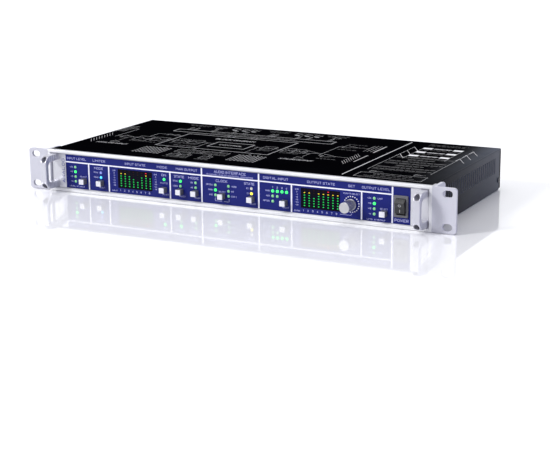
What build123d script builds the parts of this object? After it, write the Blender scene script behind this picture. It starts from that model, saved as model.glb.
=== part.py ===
from build123d import *
import math
import os

# Rack audio interface, one unit high.
# Millimetres. X to the right seen from the front, Y towards the back, Z up.
# Origin: middle of the width, on the base, in the rack mounting plane (the back face of the ears).

# ---- driving dimensions -------------------------------------------------
RACK_WIDTH = 482.6          # over the ears, the 19 inch standard
SLOT_SPACING_X = 465.1      # between the ear slots
SLOT_SPACING_Z = 31.75
HEIGHT = 44.0
MID_Z = HEIGHT / 2
EAR_T = 3.0
FRONT = -EAR_T              # front plane of the frame and the ears
DEPTH = 205.0               # front plane to rear panel
REAR = FRONT + DEPTH
FRAME_HALF = 217.5
CASE_HALF = 216.0
CASE_TOP = 43.7
SHEET = 1.5                 # steel of the case
FRAME_DEPTH = 12.0
FRAME_BACK = FRONT + FRAME_DEPTH
LIP = 4.0                   # border of the frame round the fascia
LIP_CHAMFER = 1.25
RECESS = 2.3
FASCIA_T = 2.0
FASCIA = FRONT + RECESS     # front face of the fascia
FASCIA_BACK = FASCIA + FASCIA_T
FIT = 0.2                   # gap between parts that only drop into each other
BOARD_T = 1.6
FRONT_BOARD = 7.0           # front face of the upright board behind the fascia
MAIN_BOARD_Z = 2.9
UPPER_BOARD_Z = 20.0
OPTION_BOARD_Z = 18.9

# ---- front panel layout -------------------------------------------------
BUTTON_W, BUTTON_H = 5.8, 5.4
BUTTON_PROUD = 6.5
BUTTON_TRAVEL = 0.5
BUTTON_Z = 12.8
BUTTONS = {
    "input_level": -173.0, "limiter": -151.4, "mode": -74.3, "output_state": -54.8, "output_mode": -37.1,
    "clock": -6.1, "lock_state": 27.0, "digital_input": 63.6, "output_level": 168.9,
}
LED_R = 1.45
LED_PROUD = 0.9
LED_ROWS = [                # x, then the height of each light in that column
    (-184.0, (26.9, 21.9, 16.7, 11.6)),
    (-151.8, (23.6, 18.5)),
    (-74.4, (23.5,)),
    (-55.0, (23.4, 18.2)),
    (-37.2, (23.3, 18.2)),
    (-14.2, (23.3, 18.2, 13.1)),
    (0.8, (23.3, 18.2, 13.1)),
    (26.7, (23.3, 18.2)),
    (50.4, (23.3, 18.2, 13.0)),
    (55.5, (23.3, 18.2)),
    (60.6, (23.3,)),
    (65.6, (23.3,)),
    (158.6, (26.4, 21.3, 16.2, 11.1)),
]
METER_W, METER_H, METER_Z = 42.0, 20.0, 19.5
METERS = (-109.7, 102.0)
KNOB_X, KNOB_Z = 135.0, 18.2
KNOB_R, KNOB_PROUD, KNOB_TRAVEL = 5.3, 17.5, 0.5
SHAFT_R = 2.97
SHAFT_BORE_R = 3.03
SWITCH_X, SWITCH_Z = 186.1, 21.2
SWITCH_W, SWITCH_H = 14.4, 21.1
ROCKER_W, ROCKER_R, ROCKER_TILT = 9.6, 8.0, 10.0
ROCKER_PIVOT_Y = FASCIA - 0.3
HANDLE_X, HANDLE_W = 209.5, 7.8
HANDLE_Z0, HANDLE_Z1 = 4.1, 39.9
HANDLE_OUT = 22.0
HANDLE_SCREWS_Z = (8.0, 36.0)
EAR_SCREWS_Z = (9.0, 30.0)
EAR_SCREW_Y = FRONT + 9.0

# ---- rear panel layout --------------------------------------------------
JACK_Z = 11.7
JACK_PITCH = 15.84
JACK_COUNT = 8
JACK_STARTS = (42.8, -202.9)           # x of the lowest jack in each row of eight
JACK_BORE_R = 3.3
JACK_RING_R = 4.9
DSUBS = ((2.4, 30.5), (2.4, 12.6), (-56.3, 12.6))
DSUB_SCREW_SPACING = 47.04
OPTICAL_X = (55.4, 40.9, -31.0, -45.9)
OPTICAL_Z = 28.5
OPTICAL_W = 10.2
DIN_X, DIN_Z = (143.9, 122.9), 29.0
REMOTE_X, REMOTE_Z, REMOTE_R = 95.2, 30.7, 5.7
CLOCK_BNC = ((74.2, 31.0), (-76.6, 30.2))
OPTION_BNC = ((-157.7, 28.9), (-180.2, 28.7))
BNC_R, BNC_PROUD = 4.85, 18.5
TERM_X, TERM_Z, TERM_W = -64.3, 28.8, 4.0
TERM_LED_X = -56.5
INLET_X, INLET_Z, INLET_W, INLET_H = 188.25, 19.05, 31.5, 23.9
RETAINER_X, RETAINER_Z = 169.5, 23.0
OPTION_X0, OPTION_X1, OPTION_Z0, OPTION_Z1 = -208.0, -87.0, 19.8, 38.5
OPTION_SCREWS_X = (-93.4, -201.7)
OPTION_SCREW_Z = 29.0
TRANSCEIVER_X, TRANSCEIVER_Z, TRANSCEIVER_W, TRANSCEIVER_H = -125.4, 26.2, 25.6, 10.8

# ---- helpers ------------------------------------------------------------


def box(x0, x1, y0, y1, z0, z1):
    """A block between two corners."""
    centre = Pos((x0 + x1) / 2, (y0 + y1) / 2, (z0 + z1) / 2)
    return centre * Box(x1 - x0, y1 - y0, z1 - z0)


def rod_x(y, z, x0, x1, r):
    return Pos((x0 + x1) / 2, y, z) * Rot(0, 90, 0) * Cylinder(r, x1 - x0)


def rod_y(x, z, y0, y1, r):
    return Pos(x, (y0 + y1) / 2, z) * Rot(90, 0, 0) * Cylinder(r, y1 - y0)


def rod_z(x, y, z0, z1, r):
    return Pos(x, y, (z0 + z1) / 2) * Cylinder(r, z1 - z0)


def slab_y(sketch, y0, y1):
    """Extrude a sketch drawn in (x, z) from y0 to y1."""
    face = Plane(origin=(0, y1, 0), x_dir=(1, 0, 0), z_dir=(0, -1, 0))
    return extrude(face * sketch, amount=y1 - y0)


def slab_x(sketch, x0, x1):
    """Extrude a sketch drawn in (y, z) from x0 to x1."""
    face = Plane(origin=(x0, 0, 0), x_dir=(0, 1, 0), z_dir=(1, 0, 0))
    return extrude(face * sketch, amount=x1 - x0)


def save(name, *pieces):
    """Write one node; several pieces stay separate solids."""
    solids = []
    for piece in pieces:
        solids.extend(piece.solids())
    export_step(solids[0] if len(solids) == 1 else Compound(children=solids), f"parts/{name}.step")


def mirrored(piece):
    return mirror(piece, about=Plane.YZ)


# ---- front: frame, fascia, end blocks -----------------------------------
POCKET_HALF, POCKET_Z0, POCKET_Z1 = 214.5, 2.5, 41.5


def front_frame():
    """Aluminium frame round the fascia, with a bevel that runs down to the recess."""
    frame = box(-FRAME_HALF, FRAME_HALF, FRONT, FRAME_BACK, 0, HEIGHT)
    frame = fillet(frame.faces().sort_by(Axis.Y)[0].edges(), 0.4)
    width, height = 2 * (FRAME_HALF - LIP), HEIGHT - 2 * LIP
    frame -= slab_y(Pos(0, MID_Z) * Rectangle(width, height), FRONT - 1, FASCIA)
    mouth = Pos(0, MID_Z) * Rectangle(width + 2 * LIP_CHAMFER, height + 2 * LIP_CHAMFER)
    face = Plane(origin=(0, FRONT, 0), x_dir=(1, 0, 0), z_dir=(0, -1, 0))
    frame -= extrude(face * mouth, amount=-LIP_CHAMFER, taper=45)
    frame -= box(-POCKET_HALF, POCKET_HALF, FASCIA, FRAME_BACK, POCKET_Z0, POCKET_Z1)
    for side in (-1, 1):
        for z in EAR_SCREWS_Z:
            frame -= rod_x(EAR_SCREW_Y, z, min(side * 210, side * 220), max(side * 210, side * 220), 2.1)
    return frame


def front_fascia():
    """The printed plate, with a hole for everything that shows through it."""
    plate = Pos(0, MID_Z) * Rectangle(2 * (POCKET_HALF - FIT), POCKET_Z1 - POCKET_Z0 - 2 * FIT)
    for x in BUTTONS.values():
        plate -= Pos(x, BUTTON_Z) * Rectangle(BUTTON_W + 2 * FIT, BUTTON_H + 2 * FIT)
    for x, heights in LED_ROWS:
        for z in heights:
            plate -= Pos(x, z) * Circle(LED_R + 0.1)
    for x in METERS:
        plate -= Pos(x, METER_Z) * Rectangle(METER_W, METER_H)
    plate -= Pos(KNOB_X, KNOB_Z) * Circle(3.7)
    plate -= Pos(SWITCH_X, SWITCH_Z) * Rectangle(SWITCH_W - 1.6, SWITCH_H - 1.6)
    for side in (-1, 1):
        for z in HANDLE_SCREWS_Z:
            plate -= Pos(side * HANDLE_X, z) * Circle(1.7)
    return slab_y(plate, FASCIA, FASCIA_BACK)


def end_block():
    """Tapped block behind the right end of the fascia, with an arm that carries the case screw."""
    block = box(204.5, 214.3, FASCIA_BACK, FRAME_BACK, POCKET_Z0 + FIT, POCKET_Z1 - FIT)
    block += box(208.5, 212.7, FRAME_BACK - 1, 42.0, 4.0, 17.0)
    for z in HANDLE_SCREWS_Z:
        block -= rod_y(HANDLE_X, z, FASCIA_BACK - 1, FASCIA_BACK + 7.2, 1.5)
    for z in EAR_SCREWS_Z:
        block -= rod_x(EAR_SCREW_Y, z, 211.4, 215.0, 2.0)
    block -= rod_x(COVER_SCREW_Y[0], COVER_SCREW_Z, 209.5, 213.0, 1.5)
    return block


# ---- rack ears and handles ----------------------------------------------
EAR_LEG = 27.0
EAR_CORNER = 3.0
SLOT_LENGTH, SLOT_WIDTH = 10.0, 6.8


def rack_ear():
    """Right-hand ear: a bent bracket with two slots and a leg along the side of the case."""
    z0, z1 = 0.2, HEIGHT - 0.2
    plate = box(FRAME_HALF, RACK_WIDTH / 2, FRONT, 0, z0, z1)
    outer = [e for e in plate.edges().filter_by(Axis.Y) if e.center().X > RACK_WIDTH / 2 - 1]
    plate = fillet(outer, EAR_CORNER)
    leg = box(FRAME_HALF, FRAME_HALF + EAR_T, FRONT, FRONT + EAR_LEG, z0, z1)
    back = [e for e in leg.edges().filter_by(Axis.X) if e.center().Y > FRONT + EAR_LEG - 1]
    leg = fillet(back, 5.0)
    ear = plate + leg
    bend = [e for e in ear.edges().filter_by(Axis.Z)
            if abs(e.center().X - FRAME_HALF - EAR_T) < 0.01 and abs(e.center().Y) < 0.01]
    ear = fillet(bend, 1.5)
    for z in (MID_Z - SLOT_SPACING_Z / 2, MID_Z + SLOT_SPACING_Z / 2):
        ear -= slab_y(Pos(SLOT_SPACING_X / 2, z) * SlotOverall(SLOT_LENGTH, SLOT_WIDTH), FRONT - 1, 1)
    for z in EAR_SCREWS_Z:
        ear -= rod_x(EAR_SCREW_Y, z, FRAME_HALF - 1, FRAME_HALF + EAR_T + 1, 2.15)
        head = Plane(origin=(FRAME_HALF + EAR_T, EAR_SCREW_Y, z), z_dir=(1, 0, 0))
        ear -= extrude(head * Circle(3.9), amount=-1.75, taper=45)
    return ear


def ear_screw(z):
    """Countersunk M4 screw through the leg and the frame into the end block."""
    head = Plane(origin=(FRAME_HALF + EAR_T - 0.1, EAR_SCREW_Y, z), z_dir=(1, 0, 0))
    screw = extrude(head * Circle(3.75), amount=-1.75, taper=45)
    screw += rod_x(EAR_SCREW_Y, z, 211.6, FRAME_HALF + EAR_T - 0.5, 1.98)
    socket = head * RegularPolygon(1.25, 6)
    return screw - extrude(socket, amount=-1.2)


HANDLE_FRONT = FASCIA - HANDLE_OUT
HANDLE_GRIP, HANDLE_LEG = 4.5, 6.9
HANDLE_BORE_R = 2.9


def handle():
    """Right-hand pull handle, a bent bar cut from plate, screwed on down two bores."""
    z0, z1 = HANDLE_Z0, HANDLE_Z1
    outline = box(-HANDLE_W / 2, HANDLE_W / 2, HANDLE_FRONT, FASCIA, z0, z1)
    corners = [e for e in outline.edges().filter_by(Axis.X) if e.center().Y < HANDLE_FRONT + 1]
    outline = fillet(corners, 9.0)
    window = box(-5, 5, HANDLE_FRONT + HANDLE_GRIP, FASCIA + 8, z0 + HANDLE_LEG, z1 - HANDLE_LEG)
    corners = [e for e in window.edges().filter_by(Axis.X) if e.center().Y < HANDLE_FRONT + HANDLE_GRIP + 1]
    bar = outline - fillet(corners, 5.5)
    sharp = [e for e in bar.edges() if abs(abs(e.center().X) - HANDLE_W / 2) < 0.01
             and e.center().Y < FASCIA - 0.01]
    bar = fillet(sharp, 1.0)
    for z in HANDLE_SCREWS_Z:
        bar -= rod_y(0, z, HANDLE_FRONT - 1, FASCIA - 4.0, HANDLE_BORE_R)
        bar -= rod_y(0, z, FASCIA - 5.0, FASCIA + 1, 1.7)
    return Pos(HANDLE_X, 0, 0) * bar


def handle_screw(z):
    head = rod_y(HANDLE_X, z, FASCIA - 7.0, FASCIA - 4.0, 2.7)
    screw = head + rod_y(HANDLE_X, z, FASCIA - 4.5, FASCIA_BACK + 6.5, 1.48)
    return screw - slab_y(Pos(HANDLE_X, z) * RegularPolygon(1.25, 6), FASCIA - 8.0, FASCIA - 5.5)


# ---- steel case ---------------------------------------------------------
COVER_SCREW_Y = (FRONT + 38.0, FRONT + 199.0)
COVER_SCREW_Z = 10.6
VENT_COUNT, VENT_PITCH, VENT_WIDTH = 26, 6.0, 3.0
VENT_Y0 = FRONT + 35.5
VENT_Z0, VENT_Z1 = 19.5, 36.5
TRAY_HALF = CASE_HALF - SHEET - 0.1
RETURN = 4.0                # how far the rear panel turns forward along each side


def chassis_tray():
    """Base plate with a low wall up each side, inside the cover."""
    tray = box(-TRAY_HALF, TRAY_HALF, FRAME_BACK, REAR, 0, SHEET)
    for side in (-1, 1):
        x0, x1 = sorted((side * (TRAY_HALF - SHEET), side * TRAY_HALF))
        wall = box(x0, x1, FRAME_BACK, REAR - RETURN - 0.5, SHEET, 16.5)
        for y in COVER_SCREW_Y:
            wall -= rod_x(y, COVER_SCREW_Z, x0 - 1, x1 + 1, 1.7)
        tray += wall
    return tray


def top_cover():
    """Top and both sides bent from one sheet, with a row of vents down each side."""
    cover = box(-CASE_HALF, CASE_HALF, FRAME_BACK, REAR, 0.6, CASE_TOP)
    cover = fillet([e for e in cover.edges().filter_by(Axis.Y) if e.center().Z > CASE_TOP - 1], 1.2)
    inner = CASE_HALF - SHEET
    cover -= box(-inner, inner, FRAME_BACK - 1, REAR - SHEET, -1, CASE_TOP - SHEET)
    cover -= box(-CASE_HALF - 1, CASE_HALF + 1, REAR - RETURN - 0.1, REAR + 1, -1, 41.6)
    vent_y = [VENT_Y0 + VENT_PITCH * i for i in range(VENT_COUNT)]
    slot = Rot(0, 0, 90) * SlotOverall(VENT_Z1 - VENT_Z0, VENT_WIDTH)
    vents = [Pos(y, (VENT_Z0 + VENT_Z1) / 2) * slot for y in vent_y]
    cover -= slab_x(Sketch(children=vents), -CASE_HALF - 5, CASE_HALF + 5)
    cover -= rod_x(COVER_SCREW_Y[0], COVER_SCREW_Z, -CASE_HALF - 5, CASE_HALF + 5, 1.7)
    cover -= rod_x(COVER_SCREW_Y[1], COVER_SCREW_Z, -CASE_HALF - 5, CASE_HALF + 5, 1.7)
    return cover


def jack_places():
    return [start + JACK_PITCH * i for start in JACK_STARTS for i in range(JACK_COUNT)]


def dsub_outline(width, height):
    """D shape, its long side on top, drawn about the origin."""
    lean = height * math.tan(math.radians(10)) / 2
    half = width / 2
    face = make_face(Polyline(
        (-half - lean / 2, height / 2), (half + lean / 2, height / 2),
        (half - lean * 1.5, -height / 2), (-half + lean * 1.5, -height / 2), close=True))
    return fillet(face.vertices(), 2.2)


def rear_panel():
    """Back panel, turned forward along the sides, with every connector cut-out."""
    z0, z1 = 1.6, 41.5
    plate = Pos(0, (z0 + z1) / 2) * Rectangle(2 * CASE_HALF, z1 - z0)
    plate -= Pos(INLET_X, INLET_Z) * Rectangle(INLET_W - 3.5, INLET_H - 3.5)
    for x in jack_places():
        plate -= Pos(x, JACK_Z) * Circle(4.6)
    for x, z in DSUBS:
        plate -= Pos(x, z) * dsub_outline(41.5, 11.2)
        for side in (-1, 1):
            plate -= Pos(x + side * DSUB_SCREW_SPACING / 2, z) * Circle(1.7)
    for x in OPTICAL_X:
        plate -= Pos(x, OPTICAL_Z) * Rectangle(OPTICAL_W + FIT, OPTICAL_W + FIT)
    for x in DIN_X:
        plate -= Pos(x, DIN_Z) * Circle(6.9)
    plate -= Pos(REMOTE_X, REMOTE_Z) * Circle(REMOTE_R + 0.1)
    for x, z in CLOCK_BNC:
        plate -= Pos(x, z) * Circle(6.4)
    plate -= Pos(TERM_X, TERM_Z) * Rectangle(TERM_W + 2 * FIT, TERM_W + 2 * FIT)
    plate -= Pos(TERM_LED_X, TERM_Z) * Circle(LED_R + 0.1)
    plate -= Pos((OPTION_X0 + OPTION_X1) / 2, (OPTION_Z0 + OPTION_Z1) / 2) * Rectangle(
        OPTION_X1 - OPTION_X0, OPTION_Z1 - OPTION_Z0)
    panel = slab_y(plate, REAR - SHEET, REAR)
    panel += box(-205, 205, REAR - 8, REAR - SHEET, 1.6, 2.6)
    for side in (-1, 1):
        x0, x1 = sorted((side * (CASE_HALF - SHEET), side * CASE_HALF))
        panel += box(x0, x1, REAR - RETURN, REAR - SHEET, z0, z1)
        x0, x1 = sorted((side * 210.8, side * 212.8))
        tab = box(x0, x1, REAR - 12, REAR - SHEET, 4.0, 17.0)
        tab -= rod_x(COVER_SCREW_Y[1], COVER_SCREW_Z, x0 - 1, x1 + 1, 1.5)
        panel += tab
        x0, x1 = sorted((OPTION_X0 if side < 0 else OPTION_X1, (OPTION_X0 + 9) if side < 0 else OPTION_X1 - 9))
        lug = box(x0 - 1, x1 + 1, REAR - 2 * SHEET, REAR - SHEET, 24.0, 34.0)
        screw_x = OPTION_SCREWS_X[1] if side < 0 else OPTION_SCREWS_X[0]
        panel += lug - rod_y(screw_x, OPTION_SCREW_Z, REAR - 4, REAR, 1.3)
    return panel


def option_card_plate():
    """Blanking plate of the option card, flush in the rear panel."""
    plate = Pos((OPTION_X0 + OPTION_X1) / 2, (OPTION_Z0 + OPTION_Z1) / 2) * Rectangle(
        OPTION_X1 - OPTION_X0 - FIT, OPTION_Z1 - OPTION_Z0 - FIT)
    for x in OPTION_SCREWS_X:
        plate -= Pos(x, OPTION_SCREW_Z) * Circle(1.4)
    for x, z in OPTION_BNC:
        plate -= Pos(x, z) * Circle(6.4)
    plate -= Pos(TRANSCEIVER_X, TRANSCEIVER_Z) * Rectangle(TRANSCEIVER_W + FIT, TRANSCEIVER_H + FIT)
    return slab_y(plate, REAR - SHEET, REAR)


def cover_screw(side, y):
    """Flat pan-head screw in the side of the case."""
    head = rod_x(y, COVER_SCREW_Z, CASE_HALF, CASE_HALF + 0.8, 3.0)
    screw = fillet(head.faces().sort_by(Axis.X)[-1].edges(), 0.5)
    screw += rod_x(y, COVER_SCREW_Z, CASE_HALF - 5.0, CASE_HALF + 0.1, 1.46)
    screw -= box(CASE_HALF + 0.3, CASE_HALF + 1, y - 1.6, y + 1.6, COVER_SCREW_Z - 0.3, COVER_SCREW_Z + 0.3)
    screw -= box(CASE_HALF + 0.3, CASE_HALF + 1, y - 0.3, y + 0.3, COVER_SCREW_Z - 1.6, COVER_SCREW_Z + 1.6)
    return screw if side > 0 else mirrored(screw)


def option_screw(x):
    head = rod_y(x, OPTION_SCREW_Z, REAR, REAR + 1.8, 2.8)
    screw = fillet(head.faces().sort_by(Axis.Y)[-1].edges(), 0.9)
    screw += rod_y(x, OPTION_SCREW_Z, REAR - 5.0, REAR + 0.1, 1.28)
    for width, height in ((3.4, 0.6), (0.6, 3.4)):
        screw -= slab_y(Pos(x, OPTION_SCREW_Z) * Rectangle(width, height), REAR + 0.9, REAR + 2)
    return screw


# ---- front controls -----------------------------------------------------
SWITCH_FACE = 4.2           # front of the small switches on the front board
STEM_R = 1.7


def push_button(x):
    """Square cap, with a shoulder behind the fascia and a round stem into its switch."""
    cap = box(x - BUTTON_W / 2, x + BUTTON_W / 2, FASCIA - BUTTON_PROUD, FASCIA_BACK + 0.5,
              BUTTON_Z - BUTTON_H / 2, BUTTON_Z + BUTTON_H / 2)
    cap = fillet(cap.faces().sort_by(Axis.Y)[0].edges() + cap.edges().filter_by(Axis.Y), 0.45)
    cap += box(x - BUTTON_W / 2 - 0.8, x + BUTTON_W / 2 + 0.8, FASCIA_BACK + 0.05, FASCIA_BACK + 1.05,
               BUTTON_Z - BUTTON_H / 2 - 0.8, BUTTON_Z + BUTTON_H / 2 + 0.8)
    return cap + rod_y(x, BUTTON_Z, FASCIA_BACK + 0.5, SWITCH_FACE + 1.0, STEM_R)


def button_switch(x):
    body = box(x - 3, x + 3, SWITCH_FACE, FRONT_BOARD, BUTTON_Z - 3, BUTTON_Z + 3)
    return body - rod_y(x, BUTTON_Z, SWITCH_FACE - 1, SWITCH_FACE + 1.0 + BUTTON_TRAVEL + 0.2, STEM_R + 0.08)


def led(x, z, front, back):
    """Light with a domed end; front is where the dome ends."""
    towards = 1 if back > front else -1
    lens = rod_y(x, z, min(front, back), max(front, back), LED_R)
    return fillet(lens.faces().sort_by(Axis.Y)[0 if towards > 0 else -1].edges(), LED_PROUD - 0.1)


def meter_module(x):
    """Bar-graph block with a dark window, flush in the fascia."""
    window = box(x - METER_W / 2 + 0.1, x + METER_W / 2 - 0.1, FASCIA, FASCIA_BACK,
                 METER_Z - METER_H / 2 + 0.1, METER_Z + METER_H / 2 - 0.1)
    return window + box(x - METER_W / 2 + 1, x + METER_W / 2 - 1, FASCIA_BACK - 0.5, FRONT_BOARD,
                        METER_Z - METER_H / 2 + 1, METER_Z + METER_H / 2 - 1)


KNOB_BACK = FASCIA - 1.0
KNOB_FRONT = FASCIA - KNOB_PROUD
KNOB_COLLAR = 2.2
FLUTE_COUNT, FLUTE_R = 18, 0.75


def encoder_knob():
    """Turned knob: plain collar, fluted barrel, flat end."""
    collar = rod_y(KNOB_X, KNOB_Z, KNOB_BACK - KNOB_COLLAR, KNOB_BACK, KNOB_R + 0.35)
    collar = chamfer(collar.edges(), 0.3)
    barrel = Pos(KNOB_X, KNOB_Z) * Circle(KNOB_R)
    for i in range(FLUTE_COUNT):
        angle = 2 * math.pi * i / FLUTE_COUNT
        place = Pos(KNOB_X + KNOB_R * math.cos(angle), KNOB_Z + KNOB_R * math.sin(angle))
        barrel -= place * Circle(FLUTE_R)
    knob = collar + slab_y(barrel, KNOB_FRONT + 1.2, KNOB_BACK - 1)
    tip = rod_y(KNOB_X, KNOB_Z, KNOB_FRONT, KNOB_FRONT + 1.5, KNOB_R)
    knob += chamfer(tip.faces().sort_by(Axis.Y)[0].edges(), 0.35)
    return knob - rod_y(KNOB_X, KNOB_Z, KNOB_FRONT + 5.0, KNOB_BACK + 1, SHAFT_BORE_R)


def encoder_plunger():
    """The sleeve that the knob turns on, and that moves in when the knob is pushed."""
    return rod_y(KNOB_X, KNOB_Z, KNOB_FRONT + 5.1, FASCIA_BACK + 2.5, SHAFT_R)


def encoder_body():
    body = box(KNOB_X - 6, KNOB_X + 6, FASCIA_BACK + 0.4, FRONT_BOARD, KNOB_Z - 6, KNOB_Z + 6)
    body += rod_y(KNOB_X, KNOB_Z, FASCIA - 0.3, FASCIA_BACK + 1, 3.6)
    return body - rod_y(KNOB_X, KNOB_Z, FASCIA - 1, FASCIA_BACK + 2.5 + KNOB_TRAVEL + 0.2, SHAFT_BORE_R)


SWITCH_BEZEL = 1.5
SWITCH_BACK = 13.0
PIVOT_R = 1.0


def power_switch_housing():
    """Snap-in frame of the mains switch, hollow behind its window."""
    bezel = slab_y(Pos(SWITCH_X, SWITCH_Z) * RectangleRounded(SWITCH_W, SWITCH_H, 0.8),
                   FASCIA - SWITCH_BEZEL, FASCIA)
    bezel = chamfer(bezel.faces().sort_by(Axis.Y)[0].edges(), 0.4)
    body = slab_y(Pos(SWITCH_X, SWITCH_Z) * Rectangle(SWITCH_W - 2.0, SWITCH_H - 2.0), FASCIA - 0.5, SWITCH_BACK)
    hole = box(SWITCH_X - ROCKER_W / 2 - FIT, SWITCH_X + ROCKER_W / 2 + FIT, FASCIA - 5, ROCKER_PIVOT_Y + 9,
               SWITCH_Z - ROCKER_R - 0.15, SWITCH_Z + ROCKER_R + 0.15)
    pins = rod_x(ROCKER_PIVOT_Y, SWITCH_Z, SWITCH_X - 5.75, SWITCH_X + 5.75, PIVOT_R + 0.05)
    return bezel + body - hole - pins


def power_rocker():
    """Rocker with a dished front between two sloping ends, lying with its lower end pressed in."""
    drum = rod_x(0, 0, -ROCKER_W / 2, ROCKER_W / 2, ROCKER_R)
    corner_y, corner_z, middle_y = -5.14, 5.32, -3.9
    waste = make_face(Polyline((-20, 10), (0, 10), (0, ROCKER_R), (corner_y, corner_z), (middle_y, 0),
                               (corner_y, -corner_z), (0, -ROCKER_R), (0, -10), (-20, -10), close=True))
    rocker = drum - slab_x(waste, -ROCKER_W, ROCKER_W)
    rocker += rod_x(0, 0, -5.6, 5.6, PIVOT_R)
    return Pos(SWITCH_X, ROCKER_PIVOT_Y, SWITCH_Z) * Rot(ROCKER_TILT, 0, 0) * rocker


# ---- rear connectors ----------------------------------------------------


def mains_inlet():
    """Snap-in appliance inlet: flange, body and the socket with two cut corners."""
    flange = slab_y(Pos(INLET_X, INLET_Z) * RectangleRounded(INLET_W, INLET_H, 1.0), REAR, REAR + 1.6)
    body = slab_y(Pos(INLET_X, INLET_Z) * Rectangle(INLET_W - 4.0, INLET_H - 4.0), REAR - 24, REAR + 0.5)
    socket = make_face(Polyline((-12.3, -8.0), (12.3, -8.0), (12.3, 3.6), (7.9, 8.0), (-7.9, 8.0),
                                (-12.3, 3.6), close=True))
    return flange + body - slab_y(Pos(INLET_X, INLET_Z) * socket, REAR - 17, REAR + 5)


def mains_pin(dx, dz):
    x, z = INLET_X + dx, INLET_Z + dz
    blade = box(x - 1, x + 1, REAR - 17, REAR - 3, z - 2, z + 2)
    return chamfer(blade.faces().sort_by(Axis.Y)[-1].edges(), 0.5)


RETAINER_Y = REAR + 3.0
RETAINER_WIRE = 2.8


def retainer_bracket():
    """Small plate with a barrel that the cord loop turns in."""
    x, z = RETAINER_X, RETAINER_Z
    plate = box(x - 3.2, x + 2.8, REAR, REAR + 1.0, z - 5, z + 5)
    plate += box(x - 1.2, x + 1.2, REAR + 0.5, RETAINER_Y, z - 5, z + 5)
    return plate + rod_z(x, RETAINER_Y, z - 5, z + 5, 2.0) - rod_z(x, RETAINER_Y, z - 6, z + 6, 1.16)


def cord_retainer():
    """D-shaped loop that holds the mains lead, hung on its straight side."""
    y0, y1, half = RETAINER_Y, RETAINER_Y + 14.6, 8.0
    centre_y = y1 - half

    def blank(grow):
        round_end = Pos(centre_y, RETAINER_Z) * Circle(half + grow)
        square = Pos((y0 + centre_y) / 2, RETAINER_Z) * RectangleRounded(
            centre_y - y0 + 2 * grow, 2 * (half + grow), 1.2 + max(grow, 0))
        bridge = Pos(centre_y - 2, RETAINER_Z) * Rectangle(4, 2 * (half + grow))
        return round_end + square + bridge

    wire = RETAINER_WIRE / 2
    loop = slab_x(blank(wire) - blank(-wire), RETAINER_X - wire, RETAINER_X + wire)
    loop = chamfer([e for e in loop.edges() if abs(abs(e.center().X - RETAINER_X) - wire) < 0.01], 0.5)
    loop -= box(RETAINER_X - 3, RETAINER_X + 3, y0 - 3, y0 + 3, RETAINER_Z - 5.15, RETAINER_Z + 5.15)
    return loop + rod_z(RETAINER_X, y0, RETAINER_Z - 6, RETAINER_Z + 6, 1.1)


def din_socket(x):
    """Five-pole socket: round face in the panel, block behind."""
    body = rod_y(x, DIN_Z, REAR - 3, REAR - 0.2, 6.7)
    body += box(x - 9, x + 9, REAR - 14, REAR - SHEET, UPPER_BOARD_Z + BOARD_T, DIN_Z + 9)
    for i in range(5):
        angle = math.radians(45 * i)
        hole_x, hole_z = x + 3.7 * math.cos(angle), DIN_Z + 3.7 * math.sin(angle)
        body -= rod_y(hole_x, hole_z, REAR - 8, REAR + 1, 0.95)
    return body


def remote_socket():
    body = rod_y(REMOTE_X, REMOTE_Z, REAR - 3, REAR + 1.2, REMOTE_R)
    body -= rod_y(REMOTE_X, REMOTE_Z, REAR + 0.2, REAR + 2, REMOTE_R - 0.9)
    body += box(REMOTE_X - 7, REMOTE_X + 7, REAR - 13, REAR - SHEET, UPPER_BOARD_Z + BOARD_T, REMOTE_Z + 6)
    for i in range(4):
        angle = math.radians(45 + 90 * i)
        hole_x, hole_z = REMOTE_X + 2.3 * math.cos(angle), REMOTE_Z + 2.3 * math.sin(angle)
        body -= rod_y(hole_x, hole_z, REAR - 6, REAR + 2, 0.5)
    return body


def bnc_socket(x, z, base_r, base_t, board_z=UPPER_BOARD_Z):
    """Coaxial socket with its nut or flange, bayonet lugs and inner insulator."""
    shell = rod_y(x, z, REAR - SHEET, REAR + BNC_PROUD, BNC_R)
    shell -= rod_y(x, z, REAR + 9, REAR + BNC_PROUD + 1, 4.05)
    shell += rod_y(x, z, REAR + 8, REAR + BNC_PROUD - 1.0, 2.4)
    shell -= rod_y(x, z, REAR + 12, REAR + BNC_PROUD, 0.8)
    shell += rod_x(REAR + 13.5, z, x - 5.9, x - BNC_R + 0.5, 0.95)
    shell += rod_x(REAR + 13.5, z, x + BNC_R - 0.5, x + 5.9, 0.95)
    shell += rod_y(x, z, REAR, REAR + 6.0, 6.2)
    shell += rod_y(x, z, REAR, REAR + base_t, base_r)
    return shell + box(x - 7, x + 7, REAR - 14, REAR - SHEET, board_z + BOARD_T, z + 7)


FLAP_W, FLAP_T, FLAP_REACH = 8.4, 0.9, 7.5
FLAP_AXIS_Z = OPTICAL_Z + 3.5
FLAP_AXIS_Y = REAR - 2.8
FLAP_PIN_R = 0.4


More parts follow.
